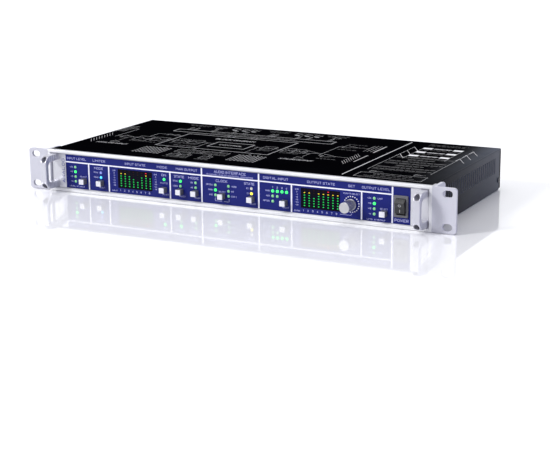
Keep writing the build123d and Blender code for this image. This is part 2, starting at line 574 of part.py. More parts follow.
def optical_housing(x):
    """Optical socket behind a square hole: back block, roof, floor, sill and two cheeks that carry the flap's pin."""
    half, cheek = OPTICAL_W / 2, OPTICAL_W / 2 - 0.8
    base_z, sill_z, roof_z = UPPER_BOARD_Z + BOARD_T, OPTICAL_Z - half, OPTICAL_Z + half
    mouth_z0, mouth_z1, mouth_y = OPTICAL_Z - 4.1, OPTICAL_Z + 4.2, REAR - 11
    walls = [box(x - half, x + half, mouth_y - 3, mouth_y, base_z, roof_z),
             box(x - half, x + half, mouth_y, REAR, mouth_z1, roof_z),
             box(x - half, x + half, mouth_y, REAR - SHEET, base_z, mouth_z0),
             box(x - half, x + half, REAR - SHEET, REAR, sill_z, mouth_z0)]
    pin = rod_x(FLAP_AXIS_Y, FLAP_AXIS_Z, x - 4.75, x + 4.75, FLAP_PIN_R + 0.06)
    for side in (-1, 1):
        x0, x1 = sorted((x + side * cheek, x + side * half))
        walls.append(box(x0, x1, mouth_y, REAR, mouth_z0, mouth_z1) - pin)
    return walls


def optical_shutter(x):
    """Sprung flap that closes an optical socket and swings in at its top edge."""
    top, bottom = FLAP_AXIS_Z + 0.4, FLAP_AXIS_Z - FLAP_REACH
    half, cut = FLAP_W / 2, 1.6
    outline = make_face(Polyline((x - half, top), (x + half, top), (x + half, bottom + cut),
                                 (x + half - cut, bottom), (x - half + cut, bottom),
                                 (x - half, bottom + cut), close=True))
    flap = slab_y(outline, FLAP_AXIS_Y - FLAP_T / 2, FLAP_AXIS_Y + FLAP_T / 2)
    return flap + rod_x(FLAP_AXIS_Y, FLAP_AXIS_Z, x - 4.65, x + 4.65, FLAP_PIN_R)


def dsub_shell(x, z):
    """Plated shell and flange of a 25-way connector, its flange behind the panel."""
    outer, inner = Pos(x, z) * dsub_outline(38.4, 8.4), Pos(x, z) * dsub_outline(37.4, 7.4)
    shell = slab_y(outer, REAR - 4.0, REAR + 4.2)
    flange = Pos(x, z) * RectangleRounded(53.0, 12.5, 1.5)
    for side in (-1, 1):
        flange -= Pos(x + side * DSUB_SCREW_SPACING / 2, z) * Circle(1.7)
    shell += slab_y(flange, REAR - SHEET - 1.2, REAR - SHEET)
    return shell - slab_y(inner, REAR - 6.0, REAR + 5.0)


def dsub_insert(x, z):
    """Insulator with 25 contact holes."""
    block = slab_y(Pos(x, z) * dsub_outline(37.2, 7.2), REAR - 4.2, REAR + 3.9)
    block += box(x - 19.5, x + 19.5, REAR - 12, REAR - 4.1, z - 4.5, z + 4.5)
    holes = [Pos(x + 2.77 * (i - 6), z + 1.42) * Circle(0.55) for i in range(13)]
    holes += [Pos(x + 2.77 * (i - 5.5), z - 1.42) * Circle(0.55) for i in range(12)]
    return block - slab_y(Sketch(children=holes), REAR - 2, REAR + 5)


def jackscrew(x, z):
    """Hexagonal post with a tapped end."""
    post = slab_y(Pos(x, z) * RegularPolygon(2.75, 6), REAR, REAR + 5.5)
    post -= rod_y(x, z, REAR + 1.5, REAR + 6, 1.3)
    return post + rod_y(x, z, REAR - 6, REAR + 0.5, 1.6)


def jack_body(x):
    """Body of a three-pole jack socket, with its threaded nose through the panel."""
    body = box(x - 7.6, x + 7.6, REAR - 27, REAR - SHEET, MAIN_BOARD_Z + BOARD_T, JACK_Z + 7)
    body += rod_y(x, JACK_Z, REAR - 2, REAR + 0.6, 4.5)
    return body - rod_y(x, JACK_Z, REAR - 20, REAR + 1, JACK_BORE_R)


def jack_nut(x):
    """Plated ring nut round the jack's nose."""
    ring = rod_y(x, JACK_Z, REAR, REAR + 1.9, JACK_RING_R)
    ring = chamfer(ring.faces().sort_by(Axis.Y)[-1].edges(), 0.4)
    ring -= rod_y(x, JACK_Z, REAR - 1, REAR + 0.6, 4.5)
    return ring - rod_y(x, JACK_Z, REAR - 1, REAR + 3, JACK_BORE_R)


def option_transceiver():
    """Duplex optical module: two square ports, each with a white ferrule."""
    x, z, w, h = TRANSCEIVER_X, TRANSCEIVER_Z, TRANSCEIVER_W, TRANSCEIVER_H
    body = box(x - w / 2, x + w / 2, REAR - 26, REAR, z - h / 2, z + h / 2)
    for side in (-1, 1):
        port = x + side * 6.35
        body -= box(port - 5.3, port + 5.3, REAR - 12, REAR + 1, z - 4.4, z + 4.4)
        body += rod_y(port, z + 0.8, REAR - 13, REAR - 4, 1.25)
    return body


def termination_button():
    """Square push key of the termination switch."""
    half = TERM_W / 2
    key = box(TERM_X - half, TERM_X + half, REAR - 3.0, REAR + 2.6, TERM_Z - half, TERM_Z + half)
    key = fillet(key.faces().sort_by(Axis.Y)[-1].edges(), 0.4)
    return key + box(TERM_X - 1.2, TERM_X + 1.2, REAR - 7.0, REAR - 2.5, TERM_Z - 1.2, TERM_Z + 1.2)


def termination_switch():
    body = box(TERM_X - 4.2, TERM_X + 4.2, REAR - 16, REAR - 6, UPPER_BOARD_Z + BOARD_T, TERM_Z + 4)
    return body - box(TERM_X - 1.4, TERM_X + 1.4, REAR - 9.5, REAR - 5, TERM_Z - 1.4, TERM_Z + 1.4)


# ---- boards and what is on them -----------------------------------------
MAIN_TOP = MAIN_BOARD_Z + BOARD_T
MAIN_POSTS = [(x, y) for x in (-205, -118, -36, 80) for y in (66, 160)]
SUPPLY_POSTS = [(172, 46), (204, 46), (172, 166), (204, 166)]
DIGITAL_POSTS = [(-78, 153), (20, 153), (100, 153), (154, 153)]
OPTION_POSTS = [(-96, 153), (-198, 153)]
DIGITAL_BOARD = (-84.0, 160.0, 148.0, 199.0)
OPTION_BOARD = (-205.0, -90.0, 148.0, 199.0)


def front_board():
    return box(-198, 176, FRONT_BOARD, FRONT_BOARD + BOARD_T, 4.5, 39.5)


def main_board():
    """Large board with the jacks, their amplifiers and the converters."""
    board = box(-209, 163, 60, REAR - 5, MAIN_BOARD_Z, MAIN_TOP)
    for x, y in MAIN_POSTS:
        board -= rod_z(x, y, 0, 10, 1.6)
    for x, y in DIGITAL_POSTS + OPTION_POSTS:
        board -= rod_z(x, y, 0, 10, 3.2)
    for column in range(8):
        for row in range(2):
            x, y = -190 + 42 * column, 84 + 34 * row
            board += box(x - 7, x + 7, y - 5, y + 5, MAIN_TOP - 0.1, MAIN_TOP + 2.4)
    return board


def raised_board(x0, x1, y0, y1, z, posts):
    """Board on tall posts over the jack bodies, with one large chip."""
    board = box(x0, x1, y0, y1, z, z + BOARD_T)
    for x, y in posts:
        board -= rod_z(x, y, 0, 40, 1.6)
    middle = (x0 + x1) / 2
    return board + box(middle - 12, middle + 12, y0 + 3, y0 + 19, z + BOARD_T - 0.1, z + BOARD_T + 1.6)


def power_supply_board():
    board = box(166, 208, 40, 172, MAIN_BOARD_Z, MAIN_TOP)
    for x, y in SUPPLY_POSTS:
        board -= rod_z(x, y, 0, 10, 1.6)
    return board


def power_supply_parts():
    """Transformer, two large capacitors and the cooler of the supply."""
    core = box(170, 200, 96, 132, MAIN_TOP, MAIN_TOP + 26)
    winding = fillet(box(174, 196, 91, 137, MAIN_TOP + 4, MAIN_TOP + 22).edges().filter_by(Axis.Z), 3)
    cans = [rod_z(x, y, MAIN_TOP, MAIN_TOP + 30, 8) for x, y in ((175.5, 76), (192.5, 76))]
    cooler = box(168, 195, 142, 146, MAIN_TOP, MAIN_TOP + 30)
    for i in range(5):
        cooler += box(169 + 5.8 * i, 170.5 + 5.8 * i, 145, 156, MAIN_TOP, MAIN_TOP + 30)
    return [core + winding, *cans, cooler]


def board_post(x, y, top):
    """Post on the base and the screw head that holds the board down on it."""
    return rod_z(x, y, SHEET, top, 2.8) + rod_z(x, y, top - 0.5, top + BOARD_T + 0.1, 1.45)


def board_screw(x, y, top):
    head = rod_z(x, y, top + BOARD_T, top + BOARD_T + 1.8, 2.8)
    return head - rod_z(x, y, top + BOARD_T - 1, top + BOARD_T + 0.1, 1.45)


def ribbon_cable():
    """Flat cable between the front board and the main board, with a connector at each end."""
    cable = box(-22, 22, FRONT_BOARD + BOARD_T + 4, 72, 10.0, 11.0)
    cable += box(-24, 24, FRONT_BOARD + BOARD_T, FRONT_BOARD + BOARD_T + 6, 7.0, 14.0)
    return cable + box(-24, 24, 66, 73, MAIN_TOP, 12.0)


def mains_wire(x_inlet, x_run, z, x_switch):
    """One insulated wire from the inlet forward to the switch, along the side of the case."""
    route = FilletPolyline(
        (x_inlet, REAR - 24, z), (x_inlet, REAR - 32, z), (x_run, REAR - 50, z), (x_run, 46, z),
        (x_switch, 24, z), (x_switch, SWITCH_BACK, z), radius=7.0)
    start = Plane(origin=(x_inlet, REAR - 24, z), z_dir=(0, -1, 0))
    return sweep(start * Circle(1.2), path=route)


# ---- write the nodes ----------------------------------------------------
os.makedirs("parts", exist_ok=True)

save("front_frame", front_frame())
save("front_fascia", front_fascia())
save("end_blocks", end_block(), mirrored(end_block()))
save("rack_ear_right", rack_ear())
save("rack_ear_left", mirrored(rack_ear()))
ear_screws = [ear_screw(z) for z in EAR_SCREWS_Z]
save("ear_screws", *ear_screws, *[mirrored(s) for s in ear_screws])
save("handle_right", handle())
save("handle_left", mirrored(handle()))
handle_screws = [handle_screw(z) for z in HANDLE_SCREWS_Z]
save("handle_screws", *handle_screws, *[mirrored(s) for s in handle_screws])

save("chassis_tray", chassis_tray())
save("top_cover", top_cover())
save("rear_panel", rear_panel())
save("option_card_plate", option_card_plate())
save("panel_screws", *[cover_screw(side, y) for side in (-1, 1) for y in COVER_SCREW_Y],
     *[option_screw(x) for x in OPTION_SCREWS_X])

for name, x in BUTTONS.items():
    save(f"button_{name}", push_button(x))
save("button_switches", *[button_switch(x) for x in BUTTONS.values()])
save("encoder_knob", encoder_knob())
save("encoder_plunger", encoder_plunger())
save("encoder_body", encoder_body())
save("power_switch_housing", power_switch_housing())
save("power_rocker", power_rocker())
save("meter_modules", *[meter_module(x) for x in METERS])
lights = [led(x, z, FASCIA - LED_PROUD, FRONT_BOARD) for x, heights in LED_ROWS for z in heights]
save("status_leds", *lights, led(TERM_LED_X, TERM_Z, REAR + LED_PROUD, REAR - 8))

save("mains_inlet", mains_inlet())
save("mains_pins", mains_pin(0, 3.2), mains_pin(-7, -1.6), mains_pin(7, -1.6))
save("retainer_bracket", retainer_bracket())
save("cord_retainer", cord_retainer())
save("din_sockets", *[din_socket(x) for x in DIN_X])
save("remote_socket", remote_socket())
save("bnc_sockets", bnc_socket(*CLOCK_BNC[0], 8.0, 1.8), bnc_socket(*CLOCK_BNC[1], 8.0, 1.2),
     bnc_socket(*OPTION_BNC[0], 7.2, 3.0, OPTION_BOARD_Z), bnc_socket(*OPTION_BNC[1], 7.2, 5.0, OPTION_BOARD_Z))
save("optical_housings", *[wall for x in OPTICAL_X for wall in optical_housing(x)])
for name, x in zip(("out_aux", "out_main", "in_aux", "in_main"), OPTICAL_X):
    save(f"optical_shutter_{name}", optical_shutter(x))
save("dsub_shells", *[dsub_shell(x, z) for x, z in DSUBS])
save("dsub_inserts", *[dsub_insert(x, z) for x, z in DSUBS])
save("dsub_jackscrews", *[jackscrew(x + side * DSUB_SCREW_SPACING / 2, z) for x, z in DSUBS for side in (-1, 1)])
save("trs_jack_bodies", *[jack_body(x) for x in jack_places()])
save("trs_jack_nuts", *[jack_nut(x) for x in jack_places()])
save("option_transceiver", option_transceiver())
save("termination_button", termination_button())
save("termination_switch", termination_switch())

save("front_board", front_board())
save("main_board", main_board())
save("raised_boards", raised_board(*DIGITAL_BOARD, UPPER_BOARD_Z, DIGITAL_POSTS),
     raised_board(*OPTION_BOARD, OPTION_BOARD_Z, OPTION_POSTS))
save("power_supply_board", power_supply_board())
save("power_supply_parts", *power_supply_parts())
posts = [(x, y, MAIN_BOARD_Z) for x, y in MAIN_POSTS + SUPPLY_POSTS]
posts += [(x, y, UPPER_BOARD_Z) for x, y in DIGITAL_POSTS] + [(x, y, OPTION_BOARD_Z) for x, y in OPTION_POSTS]
save("board_posts", *[board_post(*place) for place in posts])
save("board_screws", *[board_screw(*place) for place in posts])
save("ribbon_cable", ribbon_cable())
save("mains_wires", mains_wire(194, 207, 26, 189), mains_wire(182, 203, 23, 183))
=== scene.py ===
import math
import random

import bmesh
import bpy
from mathutils import Matrix, Vector


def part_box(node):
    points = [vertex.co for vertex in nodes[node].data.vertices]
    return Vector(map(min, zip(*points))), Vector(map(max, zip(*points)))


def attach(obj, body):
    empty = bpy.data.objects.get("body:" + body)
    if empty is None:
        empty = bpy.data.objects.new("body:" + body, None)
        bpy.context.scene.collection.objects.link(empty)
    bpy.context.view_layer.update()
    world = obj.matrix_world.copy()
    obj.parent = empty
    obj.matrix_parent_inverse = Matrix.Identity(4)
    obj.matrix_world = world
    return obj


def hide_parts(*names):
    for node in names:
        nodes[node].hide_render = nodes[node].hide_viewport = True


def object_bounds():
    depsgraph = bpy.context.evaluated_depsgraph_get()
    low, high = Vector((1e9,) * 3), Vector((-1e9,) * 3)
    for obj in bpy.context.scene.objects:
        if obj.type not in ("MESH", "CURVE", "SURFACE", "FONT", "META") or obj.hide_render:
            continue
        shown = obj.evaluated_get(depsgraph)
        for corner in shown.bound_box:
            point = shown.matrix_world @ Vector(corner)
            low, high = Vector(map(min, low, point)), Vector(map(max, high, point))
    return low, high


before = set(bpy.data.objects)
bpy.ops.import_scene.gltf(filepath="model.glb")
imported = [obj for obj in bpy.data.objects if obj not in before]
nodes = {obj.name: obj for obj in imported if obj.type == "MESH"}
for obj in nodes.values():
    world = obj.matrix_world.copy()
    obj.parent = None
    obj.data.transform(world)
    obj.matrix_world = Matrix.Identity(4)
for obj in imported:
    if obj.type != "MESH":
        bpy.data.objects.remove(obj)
cad_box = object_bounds()
scene = bpy.context.scene

# Lengths below are millimetres in the frame of the part; a mesh is scaled to metres as it is made.
MM = 0.001

# ---- places read from the frame -----------------------------------------


def box(name):
    low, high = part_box(name)
    return low / MM, high / MM


def solids(name):
    """The vertices of each separate solid in a CAD node, solids in order of x."""
    mesh = nodes[name].data
    keys = [tuple(round(c * 1e6) for c in v.co) for v in mesh.vertices]
    parent = {k: k for k in keys}

    def root(k):
        while parent[k] != k:
            parent[k] = parent[parent[k]]
            k = parent[k]
        return k

    for face in mesh.polygons:
        first, *others = (root(keys[i]) for i in face.vertices)
        for other in others:
            parent[root(other)] = root(first)
    groups = {}
    for k in parent:
        groups.setdefault(root(k), []).append(Vector(k) / 1e3)
    return sorted(groups.values(), key=lambda g: sum(v.x for v in g) / len(g))


def extent(points):
    low = Vector([min(p[i] for p in points) for i in range(3)])
    high = Vector([max(p[i] for p in points) for i in range(3)])
    return low, high


def end_disc(points, sign, reach=0.1):
    """Centre and radius of the round end of a solid, at its highest (sign 1) or lowest (-1) y."""
    edge = max(sign * p.y for p in points)
    low, high = extent([p for p in points if sign * p.y > edge - reach])
    return (low + high) / 2, (high.x - low.x) / 2


FASCIA = box("front_fascia")[0].y
REAR = box("rear_panel")[1].y
LID = box("top_cover")[1].z

# ---- materials ----------------------------------------------------------


class Finish:
    """A principled material while its nodes are put together."""

    def __init__(self, name, metallic=0.0, specular=0.5, coat=0.0):
        self.material = bpy.data.materials.new(name)
        self.material.use_nodes = True
        self.tree = self.material.node_tree
        self.shader = self.tree.nodes["Principled BSDF"]
        for socket, value in (("Metallic", metallic), ("Specular IOR Level", specular), ("Coat Weight", coat),
                              ("Coat Roughness", 0.12)):
            self.shader.inputs[socket].default_value = value
        self.place = self.add("ShaderNodeTexCoord").outputs["Object"]

    def add(self, kind, inputs=(), **settings):
        node = self.tree.nodes.new(kind)
        for key, value in settings.items():
            setattr(node, key, value)
        for key, value in dict(inputs).items():
            if isinstance(value, bpy.types.NodeSocket):
                self.tree.links.new(value, node.inputs[key])
            else:
                node.inputs[key].default_value = value
        return node

    def noise(self, scale, stretch=(1, 1, 1)):
        vector = self.add("ShaderNodeMapping", {"Vector": self.place, "Scale": stretch}).outputs[0]
        return self.add("ShaderNodeTexNoise", {"Vector": vector, "Scale": scale, "Detail": 3.0}).outputs["Fac"]

    def calc(self, operation, *values):
        return self.add("ShaderNodeMath", dict(enumerate(values)), operation=operation).outputs[0]

    def axis(self, which):
        return self.add("ShaderNodeSeparateXYZ", {0: self.place}).outputs[which]

    def span(self, value, low, high, to_low, to_high):
        return self.add("ShaderNodeMapRange", {
            "Value": value, "From Min": low, "From Max": high, "To Min": to_low, "To Max": to_high,
        }).outputs[0]

    def vary(self, noise, to_low, to_high):
        """Noise, which mostly lies between 0.3 and 0.7, spread over another range."""
        return self.span(noise, 0.3, 0.7, to_low, to_high)

    def blend(self, first, second, share):
        """That share of the first value and the rest of the second."""
        return self.calc("ADD", self.calc("MULTIPLY", first, share), self.calc("MULTIPLY", second, 1 - share))

    def mix(self, share, first, second):
        first, second = (c if isinstance(c, bpy.types.NodeSocket) else (*c, 1.0) for c in (first, second))
        return self.add("ShaderNodeMix", {0: share, 6: first, 7: second}, data_type="RGBA").outputs[2]

    def tint(self, colour, share, spread):
        """The colour, a little darker and lighter by share."""
        dark = [c * (1 - spread) for c in colour]
        light = [min(1.0, c * (1 + spread)) for c in colour]
        return self.mix(share, dark, light)

    def give(self, **sockets):
        """Link outputs to the shader: base, rough, metal, glow, height (with depth in metres)."""
        names = {"base": "Base Color", "rough": "Roughness", "metal": "Metallic", "glow": "Emission Color"}
        depth = sockets.pop("depth", 2e-5)
        height = sockets.pop("height", None)
        if height is not None:
            bump = self.add("ShaderNodeBump", {"Height": height, "Distance": depth, "Strength": 0.6})
            self.tree.links.new(bump.outputs[0], self.shader.inputs["Normal"])
        for key, value in sockets.items():
            self.tree.links.new(value, self.shader.inputs[names[key]])
        return self.material


def surface(name, colour, rough, metallic=0.0, specular=0.5, coat=0.0, grain=1500.0, stretch=(1, 1, 1),
            tone=0.10, spread=0.06, depth=2e-5):
    """A plain finish: fine grain, broad clouding, and the same two in its roughness and bump."""
    f = Finish(name, metallic, specular, coat)
    fine, broad = f.noise(grain, stretch), f.noise(35.0)
    both = f.blend(fine, broad, 0.55)
    base = f.tint(colour, f.vary(both, 0.0, 1.0), tone)
    return f.give(base=base, rough=f.vary(both, rough + spread, rough - spread), height=fine, depth=depth)


BRUSHED_X = (0.02, 1, 1)
BRUSHED_Z = (1, 1, 0.03)

handle_metal = surface("handle_metal", (0.56, 0.56, 0.62), 0.30, 0.5, grain=2400, stretch=BRUSHED_Z, tone=0.06,
                       depth=6e-6)
ear_metal = surface("ear_metal", (0.54, 0.54, 0.61), 0.40, 0.35, grain=2200, tone=0.05)
rear_paint = surface("rear_paint", (0.0022, 0.0022, 0.0028), 0.40, specular=0.05, grain=1500, tone=0.35, spread=0.08,
                     depth=3e-5)
screw_steel = surface("screw_steel", (0.62, 0.62, 0.65), 0.32, 1.0, grain=2500, tone=0.12)
screw_black = surface("screw_black", (0.035, 0.035, 0.04), 0.34, 0.6, grain=2500, tone=0.2)
nickel = surface("nickel", (0.86, 0.86, 0.87), 0.17, 1.0, grain=2000, tone=0.06, spread=0.05)
plated = surface("plated", (0.80, 0.80, 0.80), 0.28, 1.0, grain=1800, tone=0.10)
gold = surface("gold", (0.85, 0.55, 0.20), 0.24, 1.0, grain=1800, tone=0.10)
dark_metal = surface("dark_metal", (0.10, 0.10, 0.11), 0.30, 0.9, grain=2000, tone=0.15)
grey_plastic = surface("grey_plastic", (0.115, 0.115, 0.132), 0.42, specular=0.4, tone=0.12)
socket_plastic = surface("socket_plastic", (0.060, 0.062, 0.068), 0.40, specular=0.4, tone=0.15)
black_plastic = surface("black_plastic", (0.012, 0.012, 0.014), 0.30, specular=0.5, tone=0.25)
optical_plastic = surface("optical_plastic", (0.030, 0.031, 0.034), 0.38, specular=0.4, tone=0.2)
dsub_plastic = surface("dsub_plastic", (0.035, 0.035, 0.045), 0.45, specular=0.35, tone=0.15)
ivory = surface("ivory", (0.66, 0.62, 0.52), 0.35, tone=0.08)
insulator = surface("insulator", (0.55, 0.55, 0.53), 0.40, tone=0.08)
key_blue = surface("key_blue", (0.02, 0.22, 0.55), 0.25, coat=0.3, tone=0.1)
board_green = surface("board_green", (0.01, 0.08, 0.03), 0.35, tone=0.3)
ribbon_grey = surface("ribbon_grey", (0.30, 0.30, 0.32), 0.5, stretch=(1, 0.03, 1), tone=0.2)
wire_brown = surface("wire_brown", (0.10, 0.04, 0.02), 0.4, tone=0.2)
supply_black = surface("supply_black", (0.02, 0.02, 0.025), 0.5, tone=0.3)
base_paint = surface("base_paint", (0.010, 0.010, 0.012), 0.46, specular=0.25, tone=0.35, spread=0.08, depth=3e-5)
ink_white = surface("ink_white", (0.80, 0.80, 0.90), 0.45, specular=0.3, tone=0.05, depth=4e-6)
ink_lilac = surface("ink_lilac", (0.46, 0.47, 0.78), 0.45, specular=0.3, tone=0.06, depth=4e-6)
ink_lid = surface("ink_lid", (0.42, 0.42, 0.43), 0.5, specular=0.1, tone=0.12, depth=4e-6)
ink_small = surface("ink_small", (0.13, 0.13, 0.135), 0.5, specular=0.1, tone=0.12, depth=4e-6)
ink_note = surface("ink_note", (0.72, 0.72, 0.74), 0.5, specular=0.1, tone=0.08, depth=4e-6)
ink_rear = surface("ink_rear", (0.48, 0.48, 0.50), 0.5, specular=0.2, tone=0.08, depth=4e-6)
ink_blue = surface("ink_blue", (0.05, 0.07, 0.30), 0.45, specular=0.3, tone=0.1, depth=4e-6)
symbol_grey = surface("symbol_grey", (0.55, 0.55, 0.58), 0.4, tone=0.08, depth=4e-6)


def frame_paint():
    """Brushed metal, lighter on the front plane; down the bevel into the recess its colour is darkened, a painted
    shade.
    """
    f = Finish("frame_paint", metallic=0.45)
    front = box("front_frame")[0].y
    fine, broad = f.noise(2600, BRUSHED_X), f.noise(35.0)
    cloud = f.blend(fine, broad, 0.55)
    # painted shade: the colour falls from the front plane's 0.76 to 0.48 down the bevel into the recess
    bevel = f.span(f.axis(1), (front + 0.05) * MM, (front + 0.5) * MM, 0.0, 1.0)
    base = f.mix(bevel, f.tint((0.76, 0.76, 0.78), cloud, 0.05), f.tint((0.48, 0.48, 0.52), cloud, 0.05))
    return f.give(base=base, rough=f.vary(cloud, 0.40, 0.28), height=fine, depth=2e-5)


PRINT_X0, PRINT_X1 = -196.0, 195.5      # where the blue print begins and ends on the fascia


def fascia_print():
    """Blue satin print in the middle, bare brushed metal at both ends."""
    f = Finish("fascia_print", specular=0.14)
    x = f.axis(0)
    inside = f.calc("MULTIPLY", f.calc("GREATER_THAN", x, PRINT_X0 * MM), f.calc("LESS_THAN", x, PRINT_X1 * MM))
    fine, broad, streak = f.noise(1800), f.noise(14.0), f.noise(2600, BRUSHED_X)
    cloud = f.blend(fine, broad, 0.4)
    blue = f.tint((0.008, 0.013, 0.142), f.vary(cloud, 0.0, 1.0), 0.12)
    bare = f.tint((0.62, 0.62, 0.66), streak, 0.06)
    base = f.mix(inside, bare, blue)
    rough = f.calc("ADD", f.span(inside, 0.0, 1.0, 0.30, 0.42), f.vary(cloud, -0.04, 0.04))
    return f.give(base=base, metal=f.span(inside, 0.0, 1.0, 0.5, 0.0), rough=rough, height=fine, depth=1e-5)


def cover_paint():
    """Deep black cover. Towards its right rear corner and down its flanks it carries a painted sheen, lighter, bluish
    and glossier; the walls of the vent slots are painted light, paler than the sheet.
    """
    f = Finish("cover_paint", specular=0.03)
    edge = box("top_cover")[1].x * MM
    x = f.axis(0)
    near = f.add("ShaderNodeMapRange", {"Value": x, "From Min": edge - 0.044, "From Max": edge},
                 interpolation_type="SMOOTHSTEP").outputs[0]
    out = f.calc("ABSOLUTE", x)
    flank = f.span(out, edge - 0.0012, edge - 0.0008, 0.0, 1.0)
    deep = f.span(f.axis(1), 0.0, REAR * MM, 0.20, 1.0)
    # painted sheen: towards the right of the lid and down both flanks, growing towards the rear, the specular level is
    # raised and the colour turned a lighter slate blue, standing for the reflection of a light behind and to the right
    painted_sheen = f.calc("POWER", f.calc("MULTIPLY", deep, f.calc("MAXIMUM", near, flank)), 2.0)
    gloss = f.calc("MULTIPLY", painted_sheen, f.span(flank, 0.0, 1.0, 0.014, 0.16))
    f.tree.links.new(gloss, f.shader.inputs["Specular IOR Level"])
    cut = f.calc("MULTIPLY", f.calc("GREATER_THAN", out, edge - 0.00165), f.calc("LESS_THAN", out, edge - 0.0001))
    fine, broad = f.noise(1500), f.noise(25.0)
    cloud = f.blend(fine, broad, 0.5)
    black = f.tint((0.0010, 0.0010, 0.0016), f.vary(cloud, 0.0, 1.0), 0.4)
    # painted light: inside the sheet's thickness, below the top, the walls of the vent slots are made pale, standing
    # for the light thrown on them from the front
    painted_lit_slot_walls = f.calc("MULTIPLY", cut, f.calc("LESS_THAN", f.axis(2), (LID - 1.6) * MM))
    # the painted sheen's slate blue laid over the black
    black_with_painted_sheen = f.mix(painted_sheen, black, f.tint((0.030, 0.038, 0.062), cloud, 0.1))
    return f.give(base=f.mix(painted_lit_slot_walls, black_with_painted_sheen, f.tint((0.17, 0.18, 0.22), cloud, 0.15)),
                  rough=f.vary(cloud, 0.40, 0.30), height=fine, depth=5e-6)


def button_caps():
    """White moulded face on a grey body; the face is the first 0.55 mm of the cap."""
    f = Finish("button_caps", specular=0.45)
    front = box("button_clock")[0].y
    face = f.span(f.axis(1), (front + 0.50) * MM, (front + 0.62) * MM, 1.0, 0.0)
    fine, broad = f.noise(1800), f.noise(220.0)
    cloud = f.blend(fine, broad, 0.5)
    white = f.tint((0.70, 0.70, 0.75), cloud, 0.05)
    grey = f.tint((0.13, 0.13, 0.15), cloud, 0.18)
    return f.give(base=f.mix(face, grey, white), rough=f.vary(cloud, 0.26, 0.36), height=fine, depth=8e-6)


def turned_metal(centre):
    """Knob metal: fine rings round its axis and a light grain."""
    f = Finish("turned_metal", metallic=1.0)
    away = f.add("ShaderNodeVectorMath", {0: f.place, 1: (centre.x * MM, 0, centre.z * MM)}, operation="SUBTRACT")
    flat = f.add("ShaderNodeVectorMath", {0: away.outputs[0], 1: (1, 0, 1)}, operation="MULTIPLY")
    radius = f.add("ShaderNodeVectorMath", {0: flat.outputs[0]}, operation="LENGTH").outputs["Value"]
    rings = f.calc("SINE", f.calc("MULTIPLY", radius, 14000.0))
    grain = f.noise(1800)
    base = f.tint((0.54, 0.54, 0.56), grain, 0.04)
    rough = f.calc("ADD", f.span(rings, -1.0, 1.0, 0.29, 0.35), f.vary(grain, -0.02, 0.02))
    return f.give(base=base, rough=rough, height=f.calc("ADD", rings, grain), depth=1.2e-6)


def inlet_plastic():
    """Grey flange, black down inside the socket."""
    f = Finish("inlet_plastic", specular=0.4)
    inner = f.span(f.axis(1), (REAR - 0.2) * MM, (REAR + 0.9) * MM, 1.0, 0.0)
    fine = f.noise(1500)
    base = f.mix(inner, f.tint((0.085, 0.088, 0.11), fine, 0.15), f.tint((0.010, 0.010, 0.012), fine, 0.3))
    return f.give(base=base, rough=f.vary(fine, 0.34, 0.46), height=fine, depth=2e-5)


def light(name, colour, strength, base, specular=0.5):
    """A diffused lamp or display segment, glowing with its emission; for one that is off, the weak emission is a
    painted glow.
    """
    f = Finish(name, specular=specular)
    f.shader.inputs["Emission Strength"].default_value = strength
    fine = f.noise(1500)
    cloud = f.vary(fine, 0.0, 1.0)
    return f.give(base=f.tint(base, cloud, 0.08), rough=f.vary(fine, 0.22, 0.34),
                  glow=f.tint(colour, cloud, 0.06), height=fine, depth=3e-6)


window_black = surface("window_black", (0.002, 0.002, 0.008), 0.16, specular=0.06, grain=900, tone=0.3, spread=0.03,
                       depth=3e-6)
# the lamps that are off still glow weakly, a painted glow standing for their coloured domes under the studio light
LAMPS = {
    "green_on": light("lamp_green_on", (0.03, 1.0, 0.14), 1.7, (0.05, 0.5, 0.1)),
    "green_off": light("lamp_green_off", (0.16, 0.55, 0.20), 0.30, (0.20, 0.48, 0.24)),
    "cyan_on": light("lamp_cyan_on", (0.04, 0.52, 1.0), 1.3, (0.1, 0.4, 0.6)),
    "lilac_off": light("lamp_lilac_off", (0.16, 0.20, 0.70), 0.35, (0.25, 0.28, 0.62)),
    "yellow_on": light("lamp_yellow_on", (1.0, 0.86, 0.03), 1.5, (0.6, 0.5, 0.1)),
    "white_off": light("lamp_white_off", (0.5, 0.5, 0.45), 0.2, (0.55, 0.55, 0.52)),
    "pale_off": light("lamp_pale_off", (0.6, 0.6, 0.3), 0.25, (0.62, 0.62, 0.40)),
}
SEGMENTS = {
    "red_on": light("bar_red_on", (1.0, 0.01, 0.03), 1.3, (0.12, 0.01, 0.01), 0.08),
    "yellow_on": light("bar_yellow_on", (0.85, 0.66, 0.02), 1.3, (0.16, 0.13, 0.01), 0.08),
    "green_on": light("bar_green_on", (0.010, 0.62, 0.10), 1.3, (0.01, 0.12, 0.02), 0.08),
    # segments that are off glow faintly too, a painted glow
    "red_off": light("bar_red_off", (0.10, 0.006, 0.004), 0.25, (0.012, 0.002, 0.001), 0.04),
    "yellow_off": light("bar_yellow_off", (0.06, 0.02, 0.004), 0.25, (0.008, 0.004, 0.001), 0.04),
    "green_off": light("bar_green_off", (0.004, 0.03, 0.008), 0.25, (0.001, 0.004, 0.002), 0.04),
}

# ---- mesh building ------------------------------------------------------

INK_DOWN, INK_UP = -0.02, 0.03          # how far a print reaches into and above its surface
RISE, LAYER = 0.0005, 0.006             # from point to point of a line, and from line to line of a sign


def front_face(u, v, w):
    return Vector((u, FASCIA - w, v))


def rear_face(u, v, w):
    """u runs to the right as the rear panel is read."""
    return Vector((-u, REAR + w, v))


def lid_face(u, v, w):
    return Vector((u, v, LID + w))


